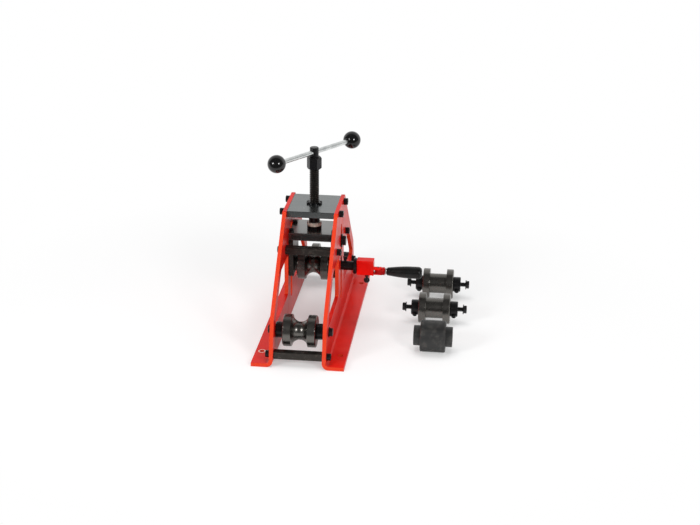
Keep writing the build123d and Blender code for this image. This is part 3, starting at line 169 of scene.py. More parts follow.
class Graph:
    """The node tree of one material or of the world."""

    def __init__(self, tree: bpy.types.NodeTree) -> None:
        """Start from an empty tree."""
        self.tree = tree
        tree.nodes.clear()

    def node(
        self,
        kind: str,
        settings: Mapping[str, object] | None = None,
        sockets: Mapping[str | int, Value] | None = None,
    ) -> bpy.types.Node:
        """Add one node.

        Args:
            kind: Blender's type of the node.
            settings: The node's own settings; "stops" sets a colour ramp's.
            sockets: A value or a wire for each input, by name or index.

        Returns:
            The new node.
        """
        made = self.tree.nodes.new(kind)
        for name, value in (settings or {}).items():
            if name == "stops":
                self._set_stops(made.color_ramp, value)
            else:
                setattr(made, name, value)
        for key, value in (sockets or {}).items():
            if isinstance(value, Wire):
                self.tree.links.new(value.socket, made.inputs[key])
            else:
                made.inputs[key].default_value = value
        return made

    @staticmethod
    def _set_stops(ramp: bpy.types.ColorRamp, stops: Sequence[tuple[float, float]]) -> None:
        """Give a ramp its stops.

        Args:
            ramp: The colour ramp.
            stops: Grey stops as (place, level) pairs.
        """
        while len(ramp.elements) < len(stops):
            ramp.elements.new(1.0)
        for element, (place, level) in zip(ramp.elements, stops):
            element.position = place
            element.color = (level, level, level, 1.0)

    def wire(self, made: bpy.types.Node, output: str | int, kind: Kind) -> Wire:
        """One output of a node as a wire."""
        return Wire(self, made.outputs[output], kind)

    def join(self, operation: str, left: Value, right: Value) -> Wire:
        """Join two values by the node that suits what they carry.

        Args:
            operation: The name that Math, Vector Math and Mix nodes share.
            left: First value.
            right: Second value.

        Returns:
            The result as a wire.
        """
        kinds = {value.kind for value in (left, right) if isinstance(value, Wire)}
        if Kind.COLOUR in kinds:
            mixed = self.node(
                "ShaderNodeMix",
                {"data_type": "RGBA", "blend_type": operation},
                {0: 1.0, 6: self._as_colour(left), 7: self._as_colour(right)},
            )
            return self.wire(mixed, 2, Kind.COLOUR)
        if Kind.VECTOR in kinds:
            moved = self.node(
                "ShaderNodeVectorMath",
                {"operation": operation},
                {0: self._as_vector(left), 1: self._as_vector(right)},
            )
            return self.wire(moved, 0, Kind.VECTOR)
        counted = self.node("ShaderNodeMath", {"operation": operation}, {0: left, 1: right})
        return self.wire(counted, 0, Kind.NUMBER)

    @staticmethod
    def _as_colour(value: Value) -> Value:
        """A colour for a Mix node.

        Args:
            value: A wire, a grey level or a colour.

        Returns:
            The wire itself, or a colour with alpha.
        """
        if isinstance(value, Wire):
            return value
        if isinstance(value, (int, float)):
            return (value, value, value, 1.0)
        return (*value[:3], 1.0)

    @staticmethod
    def _as_vector(value: Value) -> Value:
        """A vector for a Vector Math node.

        Args:
            value: A wire, a number or a vector.

        Returns:
            The value, with a number used for all three parts.
        """
        if isinstance(value, (int, float)):
            return (value, value, value)
        return value

    def mix(self, share: Value, first: Value, second: Value) -> Wire:
        """Blend from one colour to another.

        Args:
            share: How much of the second shows, from 0 to 1.
            first: First colour.
            second: Second colour.

        Returns:
            The blended colour.
        """
        mixed = self.node(
            "ShaderNodeMix",
            {"data_type": "RGBA", "blend_type": "MIX"},
            {0: share, 6: self._as_colour(first), 7: self._as_colour(second)},
        )
        return self.wire(mixed, 2, Kind.COLOUR)

    def place(self) -> Wire:
        """The point on the piece, in its own coordinates."""
        return self.wire(self.node("ShaderNodeTexCoord"), "Object", Kind.VECTOR)

    def facing(self) -> Wire:
        """The way that the surface faces, in the piece's own axes."""
        return self.wire(self.node("ShaderNodeTexCoord"), "Normal", Kind.VECTOR)

    def split(self, vector: Wire) -> tuple[Wire, Wire, Wire]:
        """The three numbers of a vector."""
        parts = self.node("ShaderNodeSeparateXYZ", sockets={0: vector})
        return tuple(self.wire(parts, index, Kind.NUMBER) for index in range(3))

    def vector(self, x: Value, y: Value, z: Value) -> Wire:
        """A vector from three numbers."""
        return self.wire(
            self.node("ShaderNodeCombineXYZ", sockets={0: x, 1: y, 2: z}), 0, Kind.VECTOR
        )

    def noise(self, at: Wire, scale: float, detail: float = 2.0, rough: float = 0.5) -> Wire:
        """Noise from 0 to 1.

        Args:
            at: Where it is read.
            scale: Lumps per metre.
            detail: Octaves.
            rough: How strong the finer octaves are.

        Returns:
            The noise as a number.
        """
        made = self.node(
            "ShaderNodeTexNoise",
            sockets={"Vector": at, "Scale": scale, "Detail": detail, "Roughness": rough},
        )
        return self.wire(made, 0, Kind.NUMBER)

    def step(self, value: Wire, start: float, end: float) -> Wire:
        """A smooth step.

        Args:
            value: What is measured.
            start: Where the step leaves 0.
            end: Where it reaches 1.

        Returns:
            A number from 0 to 1.
        """
        made = self.node(
            "ShaderNodeMapRange",
            {"interpolation_type": "SMOOTHSTEP"},
            {"Value": value, "From Min": start, "From Max": end},
        )
        return self.wire(made, 0, Kind.NUMBER)

    def bump(self, height: Wire, strength: float, depth: float) -> Wire:
        """Surface normal bent by a height field.

        Args:
            height: The field, from 0 to 1.
            strength: Share of the bump that shows.
            depth: Height of the field in millimetres.

        Returns:
            The normal.
        """
        made = self.node(
            "ShaderNodeBump",
            sockets={"Height": height, "Strength": strength, "Distance": depth * MM},
        )
        return self.wire(made, 0, Kind.VECTOR)

    def lathe_marks(self, pitch: float) -> Wire:
        """Fine rings round the piece's own X axis.

        Args:
            pitch: Usual width of a ring in millimetres.

        Returns:
            Their height, from 0 to 1.
        """
        x, y, z = self.split(self.place())
        reach = (y * y + z * z) ** 0.5
        return self.noise(self.vector(x, reach, 0.0), 1.0 / (pitch * MM), 3.0, 0.7)


# ------------------------------------------------------------------ finishes
@dataclass(frozen=True)
class Finish:
    """A surface finish, made into one material when it is first used."""

    name: str
    slot: Slot
    colour: Colour
    roughness: float
    metallic: float = 0.0

    def sockets(self, graph: Graph) -> dict[str, Value]:
        """Values and wires for the surface shader.

        Args:
            graph: The material's node tree.

        Returns:
            A value or a wire for each socket, by its name.
        """
        raise NotImplementedError

    def material(self) -> bpy.types.Material:
        """The material, made once.

        Returns:
            The material of this finish.
        """
        known = bpy.data.materials.get(self.name)
        if known:
            return known
        made = bpy.data.materials.new(self.name)
        made.use_nodes = True
        graph = Graph(made.node_tree)
        values: dict[str, Value] = {"Metallic": self.metallic, "Roughness": self.roughness}
        values.update(self.sockets(graph))
        shader = graph.node("ShaderNodeBsdfPrincipled", sockets=values)
        output = graph.node("ShaderNodeOutputMaterial")
        graph.tree.links.new(shader.outputs[0], output.inputs[0])
        return made

    def dress(self, piece: bpy.types.Object) -> None:
        """Put the finish on a piece.

        Args:
            piece: The piece that wears it.
        """
        piece.data.materials.clear()
        piece.data.materials.append(self.material())


@dataclass(frozen=True)
class BakedPaint(Finish):
    """Glossy baked paint with dust, a drift of tone and painted light on front and back faces."""

    # edge: painted light on faces that look front or back; painted shade where it is darker than
    # the paint
    edge: Colour = (0.66, 0.046, 0.016)
    deep: Colour = (0.52, 0.006, 0.003)
    dust: Colour = (0.66, 0.07, 0.05)
    # Colour of a pale ring round one bench hole.
    bare: Colour = (0.86, 0.74, 0.64)
    pale_ring_centre: tuple[float, float] | None = None
    hole_radius: float = 0.0058
    pale_ring_radius: float = 0.0080
    wave_scale: float = 28.0
    wave_depth: float = 0.05
    wave_strength: float = 0.04
    shine: float = 0.08
    drift_scale: float = 14.0
    drift_range: Range = (0.35, 0.85)
    painted_light_shade_range: Range = (0.12, 0.40)
    smear_scale: float = 38.0
    smear_range: Range = (0.45, 0.75)
    smear_share: float = 0.25
    smear_rough: float = 0.08
    hole_blur: float = 0.2
    pale_ring_blur: float = 0.8

    def sockets(self, graph: Graph) -> dict[str, Value]:
        """Values and wires for the surface shader.

        Args:
            graph: The material's node tree.

        Returns:
            A value or a wire for each socket, by its name.
        """
        place = graph.place()
        drift = graph.noise(place, self.drift_scale, 3.0)
        tone = graph.mix(graph.step(drift, *self.drift_range), self.colour, self.deep)
        # Painted light: faces that look front or back (large Y in the normal) blend to the edge
        # colour.
        _, across, _ = graph.split(graph.facing())
        painted_light_shade = graph.step(across * across, *self.painted_light_shade_range)
        smear = graph.step(graph.noise(place, self.smear_scale, 4.0), *self.smear_range)
        tone = graph.mix(smear * self.smear_share, graph.mix(painted_light_shade, tone, self.edge), self.dust)
        # A pale ring round one bench hole, from the hole's edge out to the ring radius.
        if self.pale_ring_centre:
            x, y, _ = graph.split(place)
            east, north = x - self.pale_ring_centre[0], y - self.pale_ring_centre[1]
            away = (east * east + north * north) ** 0.5
            inner = self.hole_radius - self.hole_blur * MM
            outer = self.pale_ring_radius - self.pale_ring_blur * MM
            ring = graph.step(away, inner, self.hole_radius) * (
                1.0 - graph.step(away, outer, self.pale_ring_radius)
            )
            tone = graph.mix(ring, tone, self.bare)
        return {
            "Base Color": tone,
            "Roughness": self.roughness + self.smear_rough * smear,
            "Specular IOR Level": self.shine,
            "Normal": graph.bump(
                graph.noise(place, self.wave_scale), self.wave_strength, self.wave_depth
            ),
        }


@dataclass(frozen=True)
class RolledSteel(Finish):
    """Blackened hot rolled bar: mottled scale with long faint streaks."""

    scale_colour: Colour = (0.035, 0.030, 0.027)
    bare: Colour = (0.15, 0.13, 0.11)
    grain: tuple[float, float, float] = (40.0, 260.0, 260.0)
    mottle_scale: float = 150.0
    mottle_range: Range = (0.3, 0.7)
    streak_scale: float = 6.0
    rubbed_range: Range = (0.56, 0.72)
    rubbed_share: float = 0.55
    scale_depth: float = 0.12

    def sockets(self, graph: Graph) -> dict[str, Value]:
        """Values and wires for the surface shader.

        Args:
            graph: The material's node tree.

        Returns:
            A value or a wire for each socket, by its name.
        """
        place = graph.place()
        mottle = graph.noise(place, self.mottle_scale, 4.0, 0.65)
        streaks = graph.noise(place * self.grain, self.streak_scale, 3.0, 0.6)
        tone = graph.mix(graph.step(mottle, *self.mottle_range), self.scale_colour, self.colour)
        rubbed = graph.step(mottle * 0.6 + streaks * 0.5, *self.rubbed_range)
        return {
            "Base Color": graph.mix(rubbed * self.rubbed_share, tone, self.bare),
            "Roughness": self.roughness + 0.22 * mottle - 0.12 * rubbed,
            "Normal": graph.bump(mottle * 0.7 + streaks * 0.3, 0.35, self.scale_depth),
        }


@dataclass(frozen=True)
class BlackedPlate(Finish):
    """Blackened ground plate with a soft sheen and faint grinding lines."""

    lines: tuple[float, float, float] = (14.0, 700.0, 14.0)
    light: Colour = (0.22, 0.225, 0.225)
    cloud_scale: float = 26.0
    cloud_range: Range = (0.3, 0.8)
    light_share: float = 0.6
    line_scale: float = 3.0
    line_depth: float = 0.02

    def sockets(self, graph: Graph) -> dict[str, Value]:
        """Values and wires for the surface shader.

        Args:
            graph: The material's node tree.

        Returns:
            A value or a wire for each socket, by its name.
        """
        place = graph.place()
        cloud = graph.noise(place, self.cloud_scale, 4.0, 0.6)
        lines = graph.noise(place * self.lines, self.line_scale, 2.0)
        share = graph.step(cloud, *self.cloud_range) * self.light_share
        return {
            "Base Color": graph.mix(share, self.colour, self.light),
            "Roughness": self.roughness + 0.10 * cloud + 0.05 * lines,
            "Normal": graph.bump(lines, 0.10, self.line_depth),
        }


@dataclass(frozen=True)
class TurnedSteel(Finish):
    """Turned and blackened steel with rings round the piece's own X axis."""

    worn: Colour = (0.20, 0.185, 0.165)
    pitch: float = 0.35
    depth: float = 0.05
    wear: float = 0.5
    stain_scale: float = 70.0
    rubbed_range: Range = (0.62, 0.9)
    ring_strength: float = 0.25

    def sockets(self, graph: Graph) -> dict[str, Value]:
        """Values and wires for the surface shader.

        Args:
            graph: The material's node tree.

        Returns:
            A value or a wire for each socket, by its name.
        """
        place = graph.place()
        rings = graph.lathe_marks(self.pitch)
        stain = graph.noise(place, self.stain_scale, 5.0, 0.62)
        rubbed = graph.step(stain + 0.35 * rings, *self.rubbed_range)
        return {
            "Base Color": graph.mix(rubbed * self.wear, self.colour, self.worn),
            "Roughness": self.roughness + 0.10 * stain + 0.06 * rings,
            "Normal": graph.bump(rings, self.ring_strength, self.depth),
        }


@dataclass(frozen=True)
class BlackOxide(Finish):
    """Black oxide on fasteners and shafts, oily, with small light rubs."""

    rubbed: Colour = (0.13, 0.125, 0.12)
    oil_scale: float = 240.0
    grain_scale: float = 1500.0
    grain_depth: float = 0.03
    rub_scale: float = 130.0
    rub_range: Range = (0.56, 0.74)
    rub_share: float = 0.5

    def sockets(self, graph: Graph) -> dict[str, Value]:
        """Values and wires for the surface shader.

        Args:
            graph: The material's node tree.

        Returns:
            A value or a wire for each socket, by its name.
        """
        place = graph.place()
        oil = graph.noise(place, self.oil_scale, 3.0)
        grain = graph.noise(place, self.grain_scale, 2.0)
        rub = graph.step(graph.noise(place, self.rub_scale, 5.0, 0.7), *self.rub_range)
        return {
            "Base Color": graph.mix(rub * self.rub_share, self.colour, self.rubbed),
            "Roughness": self.roughness + 0.2 * oil - 0.1 * rub,
            "Normal": graph.bump(grain, 0.2, self.grain_depth),
        }


@dataclass(frozen=True)
class BrightSteel(Finish):
    """Zinc plated or polished steel with fine marks and a slight haze."""

    haze: Colour = (0.56, 0.58, 0.58)
    pitch: float = 0.5
    cloud_scale: float = 60.0
    cloud_range: Range = (0.35, 0.75)
    ring_depth: float = 0.02

    def sockets(self, graph: Graph) -> dict[str, Value]:
        """Values and wires for the surface shader.

        Args:
            graph: The material's node tree.

        Returns:
            A value or a wire for each socket, by its name.
        """
        place = graph.place()
        rings = graph.lathe_marks(self.pitch)
        cloud = graph.noise(place, self.cloud_scale, 4.0, 0.6)
        return {
            "Base Color": graph.mix(
                graph.step(cloud, *self.cloud_range), self.colour, self.haze
            ),
            "Roughness": self.roughness + 0.14 * cloud + 0.06 * rings,
            "Normal": graph.bump(rings, 0.2, self.ring_depth),
        }


@dataclass(frozen=True)
class TurnedBronze(Finish):
    """Bronze bush metal, turned and a little stained."""

    stain: Colour = (0.30, 0.19, 0.08)
    cloud_scale: float = 210.0
    cloud_range: Range = (0.4, 0.8)
    grain_scale: float = 1400.0
    grain_depth: float = 0.03

    def sockets(self, graph: Graph) -> dict[str, Value]:
        """Values and wires for the surface shader.

        Args:
            graph: The material's node tree.

        Returns:
            A value or a wire for each socket, by its name.
        """
        place = graph.place()
        cloud = graph.noise(place, self.cloud_scale, 4.0, 0.6)
        return {
            "Base Color": graph.mix(
                graph.step(cloud, *self.cloud_range), self.colour, self.stain
            ),
            "Roughness": self.roughness + 0.2 * cloud,
            "Normal": graph.bump(graph.noise(place, self.grain_scale), 0.2, self.grain_depth),
        }


@dataclass(frozen=True)
class PolishedBall(Finish):
    """Hard black moulding, polished, with faint hairlines and finger marks."""

    marks: float = 0.05
    smudged: Colour = (0.008, 0.008, 0.008)
    smudge_scale: float = 85.0
    smudge_range: Range = (0.4, 0.9)
    smudge_share: float = 0.4
    hairlines: tuple[float, float, float] = (900.0, 60.0, 300.0)
    hair_depth: float = 0.01

    def sockets(self, graph: Graph) -> dict[str, Value]:
        """Values and wires for the surface shader.

        Args:
            graph: The material's node tree.

        Returns:
            A value or a wire for each socket, by its name.
        """
        place = graph.place()
        smudge = graph.noise(place, self.smudge_scale, 4.0, 0.6)
        hairs = graph.noise(place * self.hairlines, 2.0, 2.0)
        share = graph.step(smudge, *self.smudge_range) * self.smudge_share
        return {
            "Base Color": graph.mix(share, self.colour, self.smudged),
            "Roughness": self.roughness + self.marks * smudge + 0.03 * hairs,
            "Normal": graph.bump(hairs, 0.04, self.hair_depth),
        }


@dataclass(frozen=True)
class MouldedGrip(Finish):
    """Satin black grip with a fine moulded grain."""

    grain_depth: float = 0.06
    grain_scale: float = 1100.0
    grain_strength: float = 0.05
    sheen_colour: Colour = (0.008, 0.008, 0.008)
    sheen_scale: float = 55.0
    sheen_range: Range = (0.35, 0.85)
    shine: float = 0.30

    def sockets(self, graph: Graph) -> dict[str, Value]:
        """Values and wires for the surface shader.

        Args:
            graph: The material's node tree.

        Returns:
            A value or a wire for each socket, by its name.
        """
        place = graph.place()
        grain = graph.noise(place, self.grain_scale, 2.0)
        sheen = graph.noise(place, self.sheen_scale, 3.0)
        return {
            "Base Color": graph.mix(
                graph.step(sheen, *self.sheen_range), self.colour, self.sheen_colour
            ),
            "Roughness": self.roughness + 0.12 * sheen,
            "Specular IOR Level": self.shine,
            "Normal": graph.bump(grain, self.grain_strength, self.grain_depth),
        }


RED_PAINT = BakedPaint("red_baked_paint", Slot.RED_PAINT, (0.64, 0.010, 0.004), 0.30)
# Paint of the left plate, with a pale ring round its front bench hole.
RINGED_PAINT = BakedPaint(
    "red_paint_pale_ring", Slot.RED_PAINT, (0.64, 0.010, 0.004), 0.30, pale_ring_centre=(-0.0815, -0.196)
)
HEAD_PAINT = BakedPaint(
    "head_red_paint", Slot.RED_PAINT, (0.74, 0.003, 0.001), 0.28, edge=(0.74, 0.003, 0.001)
)
# Painted shade: a darker copy of the red paint for the handle's neck, darker still on front and
# back faces.
SHADED_NECK_PAINT = BakedPaint(
    "neck_red_paint_shaded", Slot.RED_PAINT, (0.42, 0.003, 0.004), 0.28, edge=(0.38, 0.003, 0.004)
)
TOP_PLATE = BlackedPlate("blacked_plate", Slot.DARK_PLATE, (0.14, 0.155, 0.155), 0.18, 0.95)
CARRIAGE_PLATE = BlackedPlate(
    "carriage_plate", Slot.DARK_PLATE, (0.20, 0.20, 0.195), 0.16, 0.9, light=(0.28, 0.28, 0.27)
)
ROLLED_BAR = RolledSteel("rolled_bar", Slot.DARK_STEEL, (0.036, 0.032, 0.028), 0.24, 0.8)
ROLLER_STEEL = TurnedSteel(
    "roller_steel", Slot.BLACKED_ROLLERS, (0.145, 0.138, 0.128), 0.20, 1.0, depth=0.015, wear=0.25
)
KNURLED_STEEL = TurnedSteel(
    "knurled_steel", Slot.BLACKED_ROLLERS, (0.050, 0.050, 0.050), 0.40, 0.8, wear=0.3
)
BLACK_STEEL = BlackOxide("black_oxide", Slot.BLACK_STEEL, (0.016, 0.016, 0.017), 0.22, 0.7)
SCREW_STEEL = BlackOxide(
    "oiled_screw", Slot.BLACK_STEEL, (0.030, 0.027, 0.024), 0.24, 0.85, rubbed=(0.22, 0.17, 0.13)
)
BEARING_STEEL = BrightSteel(
    "ground_bearing", Slot.BRIGHT_STEEL, (0.92, 0.86, 0.76), 0.34, 0.45, haze=(0.78, 0.72, 0.62)
)
ZINC = BrightSteel("bright_zinc", Slot.BRIGHT_STEEL, (0.74, 0.76, 0.75), 0.17, 1.0)
BRONZE = TurnedBronze("bush_bronze", Slot.BRONZE, (0.58, 0.38, 0.17), 0.32, 0.95)
BALL_BLACK = PolishedBall("ball_black", Slot.BLACK_BALL, (0.003, 0.003, 0.003), 0.05)
GRIP_BLACK = MouldedGrip("grip_black", Slot.BLACK_GRIP, (0.003, 0.003, 0.003), 0.26)


# ------------------------------------------------------------------ meshes
def along(direction: Point, origin: Point) -> Matrix:
    """Pose of a piece whose own X axis points in a direction.

    Args:
        direction: Where the piece's X axis points.
        origin: Place of the piece's origin, in millimetres.

    Returns:
        The pose in metres.
    """
    turn = Vector((1, 0, 0)).rotation_difference(Vector(direction)).to_matrix().to_4x4()
    return Matrix.Translation(Vector(origin) * MM) @ turn


def resolve(reach: Reach, angle: float) -> float:
    """A length that may change with the angle."""
    return reach(angle) if callable(reach) else reach


def arc(centre: tuple[float, float], radius: float, start: float, end: float,
        steps: int) -> list[Station]:
    """Points on an arc in the plane of a turned profile.

    Args:
        centre: Centre as (along the axis, off the axis).
        radius: Radius of the arc.
        start: First angle in degrees from the axis.
        end: Last angle in degrees.
        steps: Number of parts.

    Returns:
        The points from start to end.
    """
    angles = [math.radians(start + (end - start) * i / steps) for i in range(steps + 1)]
    return [
        (centre[0] + radius * math.cos(a), centre[1] + radius * math.sin(a)) for a in angles
    ]


def eased(profile: Sequence[Station], ease: float) -> list[Station]:
    """Round the corners of a closed profile.

    Args:
        profile: Its corners in order.
        ease: How far from a corner the rounding starts.

    Returns:
        The profile with three points in place of each sharp corner.
    """
    points = [Vector(point) for point in profile]
    result: list[Station] = []
    for index, corner in enumerate(points):
        before = points[index - 1] - corner
        after = points[(index + 1) % len(points)] - corner
        turn = before.angle(after, math.pi) if before.length and after.length else math.pi
        if turn > math.pi - EDGE_ANGLE:
            result.append(tuple(corner))
            continue
        first = corner + before.normalized() * min(ease, before.length * 0.4)
        last = corner + after.normalized() * min(ease, after.length * 0.4)
        middle = (first + last + 2 * corner) / 4
        result += [tuple(first), tuple(middle), tuple(last)]
    return result


def spun(stations: Sequence[Station], count: int = 96, closed: bool = True) -> bmesh.types.BMesh:
    """Turn a row of stations round X into a solid.

    Args:
        stations: Distance along X and radius of each ring, each a number or a function of the
            angle; a radius of 0 is a point on the axis.
        count: Points round each ring.
        closed: Whether the last station joins the first, which gives a ring with a bore.

    Returns:
        The solid, in millimetres.
    """
    shape = bmesh.new()
    rows = []
    for x, radius in stations:
        if radius == 0:
            rows.append([shape.verts.new((resolve(x, 0.0), 0, 0))])
            continue
        row = []
        for index in range(count):
            angle = 2 * math.pi * index / count
            reach = resolve(radius, angle)
            row.append(
                shape.verts.new(
                    (resolve(x, angle), reach * math.cos(angle), reach * math.sin(angle))
                )
            )
        rows.append(row)
    pairs = list(zip(rows, rows[1:])) + ([(rows[-1], rows[0])] if closed else [])
    for low, high in pairs:
        for index in range(count):
            after = (index + 1) % count
            ring = [low[index % len(low)], low[after % len(low)],
                    high[after % len(high)], high[index % len(high)]]
            corners = list(dict.fromkeys(ring))
            if len(corners) > 2:
                shape.faces.new(corners)
    bmesh.ops.recalc_face_normals(shape, faces=shape.faces)
    return shape


@dataclass(frozen=True)
class Thread:
    """A helical thread along X, from X = start to X = end."""

    start: float
    end: float
    radius: float
    pitch: float
    depth: float
    columns: int = 48
    root_end: float = 0.30
    crest_start: float = 0.45
    crest_end: float = 0.80
    root_start: float = 0.95

    def solid(self) -> bmesh.types.BMesh:
        """The threaded rod.

        Returns:
            The solid, in millimetres.
        """
        flank = (
            (0.0, self.depth), (self.root_end, self.depth), (self.crest_start, 0.0),
            (self.crest_end, 0.0), (self.root_start, self.depth),
        )
        per_turn = len(flank)
        turns = math.ceil((self.end - self.start) / self.pitch) + 1
        shape = bmesh.new()
        rows: list[list[bmesh.types.BMVert]] = []
        for row in range(-per_turn, turns * per_turn + 1):
            turn, part = divmod(row, per_turn)
            share, sink = flank[part]
            line = []
            for column in range(self.columns + 1):
                angle = 2 * math.pi * column / self.columns
                x = self.start + self.pitch * (turn + share + column / self.columns)
                inside = self.start < x < self.end
                radius = self.radius - (sink if inside else self.depth)
                x = min(max(x, self.start), self.end)
                line.append(
                    shape.verts.new((x, radius * math.cos(angle), radius * math.sin(angle)))
                )
            rows.append(line)
        for low, high in zip(rows, rows[1:]):
            for column in range(self.columns):
                shape.faces.new((low[column], low[column + 1], high[column + 1], high[column]))
        bmesh.ops.remove_doubles(shape, verts=shape.verts, dist=MESH_WELD)
        bmesh.ops.dissolve_degenerate(shape, edges=shape.edges, dist=MESH_WELD)
        bmesh.ops.holes_fill(shape, edges=[e for e in shape.edges if e.is_boundary], sides=0)
        bmesh.ops.recalc_face_normals(shape, faces=shape.faces)
        return shape


@dataclass(frozen=True)
class HexHead:
    """Hexagon head along X, seat at X = 0, with a turned crown and a washer face."""

    flats: float
    height: float
    crown_angle: float = 30.0
    face_share: float = 0.47
    washer_share: float = 0.98
    washer_height: float = 0.35
    foot_slope: float = 0.6
    steps: int = 8

    def solid(self) -> bmesh.types.BMesh:
        """The head.

        Returns:
            The solid, in millimetres.
        """
        face = self.face_share * self.flats
        slope = math.tan(math.radians(self.crown_angle))

        def side(angle: float) -> float:
            """Distance from the axis to the hexagon's side."""
            return self.flats / 2 / math.cos((angle + SIXTH / 2) % SIXTH - SIXTH / 2)

        def shoulder(angle: float) -> float:
            """Where the crown meets the side."""
            return self.height - (side(angle) - face) * slope

        def foot(angle: float) -> float:
            """Where the side meets the washer face."""
            rise = (side(angle) - face) * slope * self.foot_slope
            return self.washer_height + max(0.0, rise)

        stations: list[Station] = [
            (0.0, 0), (0.0, face * self.washer_share),
            (self.washer_height, face * self.washer_share),
            (foot, side), (shoulder, side), (self.height, face), (self.height, 0),
        ]
        return spun(stations, 6 * self.steps, closed=False)


def shifted(shape: bmesh.types.BMesh, move: Matrix) -> bmesh.types.BMesh:
    """A solid moved in its own space, in millimetres."""
    bmesh.ops.transform(shape, matrix=move, verts=shape.verts)
    return shape


def gathered(shapes: Sequence[bmesh.types.BMesh]) -> bmesh.types.BMesh:
    """Several solids as one mesh.

    Args:
        shapes: The solids; they are freed.

    Returns:
        One mesh that holds them all.
    """
    whole = bmesh.new()
    for shape in shapes:
        part = bpy.data.meshes.new("part")
        shape.to_mesh(part)
        shape.free()
        whole.from_mesh(part)
        bpy.data.meshes.remove(part)
    return whole


def mounted(
    name: str,
    shape: bmesh.types.BMesh,
    body: Body,
    finish: Finish,
    pose: Matrix,
    replaced: Sequence[str] = (),
    scale: float = MM,
) -> bpy.types.Object:
    """Make a piece from a solid, dress it and let it ride on its body.

    Args:
        name: Name of the piece.
        shape: The solid, in its own coordinates; it is freed.
        body: CAD body that carries it.
        finish: Its finish.
        pose: Where it stands, in metres.
        replaced: CAD nodes that it stands for.
        scale: Metres to one unit of the solid.

    Returns:
        The piece.
    """
    mesh = bpy.data.meshes.new(name)
    bmesh.ops.scale(shape, vec=(scale,) * 3, verts=shape.verts)
    shape.to_mesh(mesh)
    shape.free()
    for attribute in [a.name for a in mesh.attributes if a.name == "custom_normal"]:
        mesh.attributes.remove(mesh.attributes[attribute])
    mesh.shade_smooth()
    mesh.set_sharp_from_angle(angle=SHARP_ANGLE)
    piece = bpy.data.objects.new(name, mesh)
    bpy.context.scene.collection.objects.link(piece)
    piece.matrix_world = pose
    weighted = piece.modifiers.new("even_normals", "WEIGHTED_NORMAL")
    weighted.keep_sharp = True
    finish.dress(piece)
    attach(piece, body.value)
    if replaced:
        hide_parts(*replaced)
    LOG.info("%s rides on %s", name, body.value)
    return piece


def softened(
    node: str, name: str, body: Body, finish: Finish, ease: float, pose: Matrix | None = None
) -> bpy.types.Object:
    """Stand a copy of a CAD node with rounded outer edges in its place.

    Args:
        node: The CAD node.
        name: Name of the piece.
        body: CAD body that carries it.
        finish: Its finish.
        ease: Width of the rounded edge in millimetres.
        pose: Frame that the finish follows; the row frame if left out.

    Returns:
        The piece.
    """
    pose = pose or Matrix.Identity(4)
    shape = bmesh.new()
    shape.from_mesh(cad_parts[node].data)
    bmesh.ops.remove_doubles(shape, verts=shape.verts, dist=WELD_DISTANCE)
    bmesh.ops.dissolve_limit(
        shape, angle_limit=FLAT_ANGLE, verts=shape.verts, edges=shape.edges
    )
    corners = [
        edge
        for edge in shape.edges
        if len(edge.link_faces) == 2 and edge.calc_face_angle_signed(0.0) > EDGE_ANGLE
    ]
    bmesh.ops.bevel(
        shape, geom=corners, offset=ease * MM, offset_type="OFFSET", segments=EASE_SEGMENTS,
        profile=ROUND_PROFILE, affect="EDGES", clamp_overlap=True,
    )
    bmesh.ops.transform(shape, matrix=pose.inverted(), verts=shape.verts)
    return mounted(name, shape, body, finish, pose, (node,), scale=1.0)


def kept(node: str, finish: Finish) -> None:
    """Leave a CAD node as it is and give it its finish."""
    finish.dress(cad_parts[node])
    LOG.info("%s stays as it is", node)


# ------------------------------------------------------------------ sub-assemblies
@dataclass(frozen=True)
class SideFrame:
    """Folded side plates, top plate with its nut and the four cross bars."""

    plate_ease: float = 0.9
    top_ease: float = 0.5
    bar_ease: float = 0.3
    fastener_ease: float = 0.25

    def build(self) -> None:
        """Dress the fixed frame."""
        for side, paint in (("left", RINGED_PAINT), ("right", RED_PAINT)):
            softened(f"{side}_side_plate", f"{side}_plate_painted", Body.FRAME, paint,
                     self.plate_ease)
        softened("top_plate", "top_plate_ground", Body.FRAME, TOP_PLATE, self.top_ease)
        softened("screw_nut", "screw_nut_notched", Body.FRAME, BLACK_STEEL, self.fastener_ease)
        for bar in ("front_base_bar", "rear_base_bar", "front_tie_bar", "rear_tie_bar"):
            softened(bar, f"{bar}_rolled", Body.FRAME, ROLLED_BAR, self.bar_ease)
        for node in ("frame_bolts", "axle_fasteners", "axle_collars"):
            softened(node, f"{node}_black", Body.FRAME, BLACK_STEEL, self.fastener_ease)
        for node in ("front_axle", "rear_axle"):
            kept(node, BLACK_STEEL)


@dataclass(frozen=True)
class GroovedRoller:
    """Roller with a round groove for pipe between two rims."""

    width: float = 67.6
    rim: float = 33.0
    groove: float = 17.0
    groove_lift: float = 2.5
    groove_steps: int = 36
    chamfer: float = 1.5
    ease: float = 0.35

    def solid(
        self, bore: float, hub_radius: float = 0.0, hub_end: float = 0.0
    ) -> bmesh.types.BMesh:
        """The roller round X.

        Args:
            bore: Radius of the bore.
            hub_radius: Radius of the hubs, or 0 for none.
            hub_end: Where the hubs end, from the middle.

        Returns:
            The solid, in millimetres.
        """
        half = self.width / 2
        middle = (0.0, self.rim + self.groove_lift)
        edge = math.degrees(math.asin(self.groove_lift / self.groove))
        right: list[Station] = [
            (half - self.chamfer, self.rim),
            (half, self.rim - self.chamfer),
        ]
        if hub_radius:
            right += [(half, hub_radius), (hub_end, hub_radius), (hub_end, bore)]
        else:
            right += [(half, bore)]
        left = [(-x, r) for x, r in reversed(right)]
        groove = arc(middle, self.groove, 180 + edge, 360 - edge, self.groove_steps)
        return spun(eased(left + groove + right, self.ease))


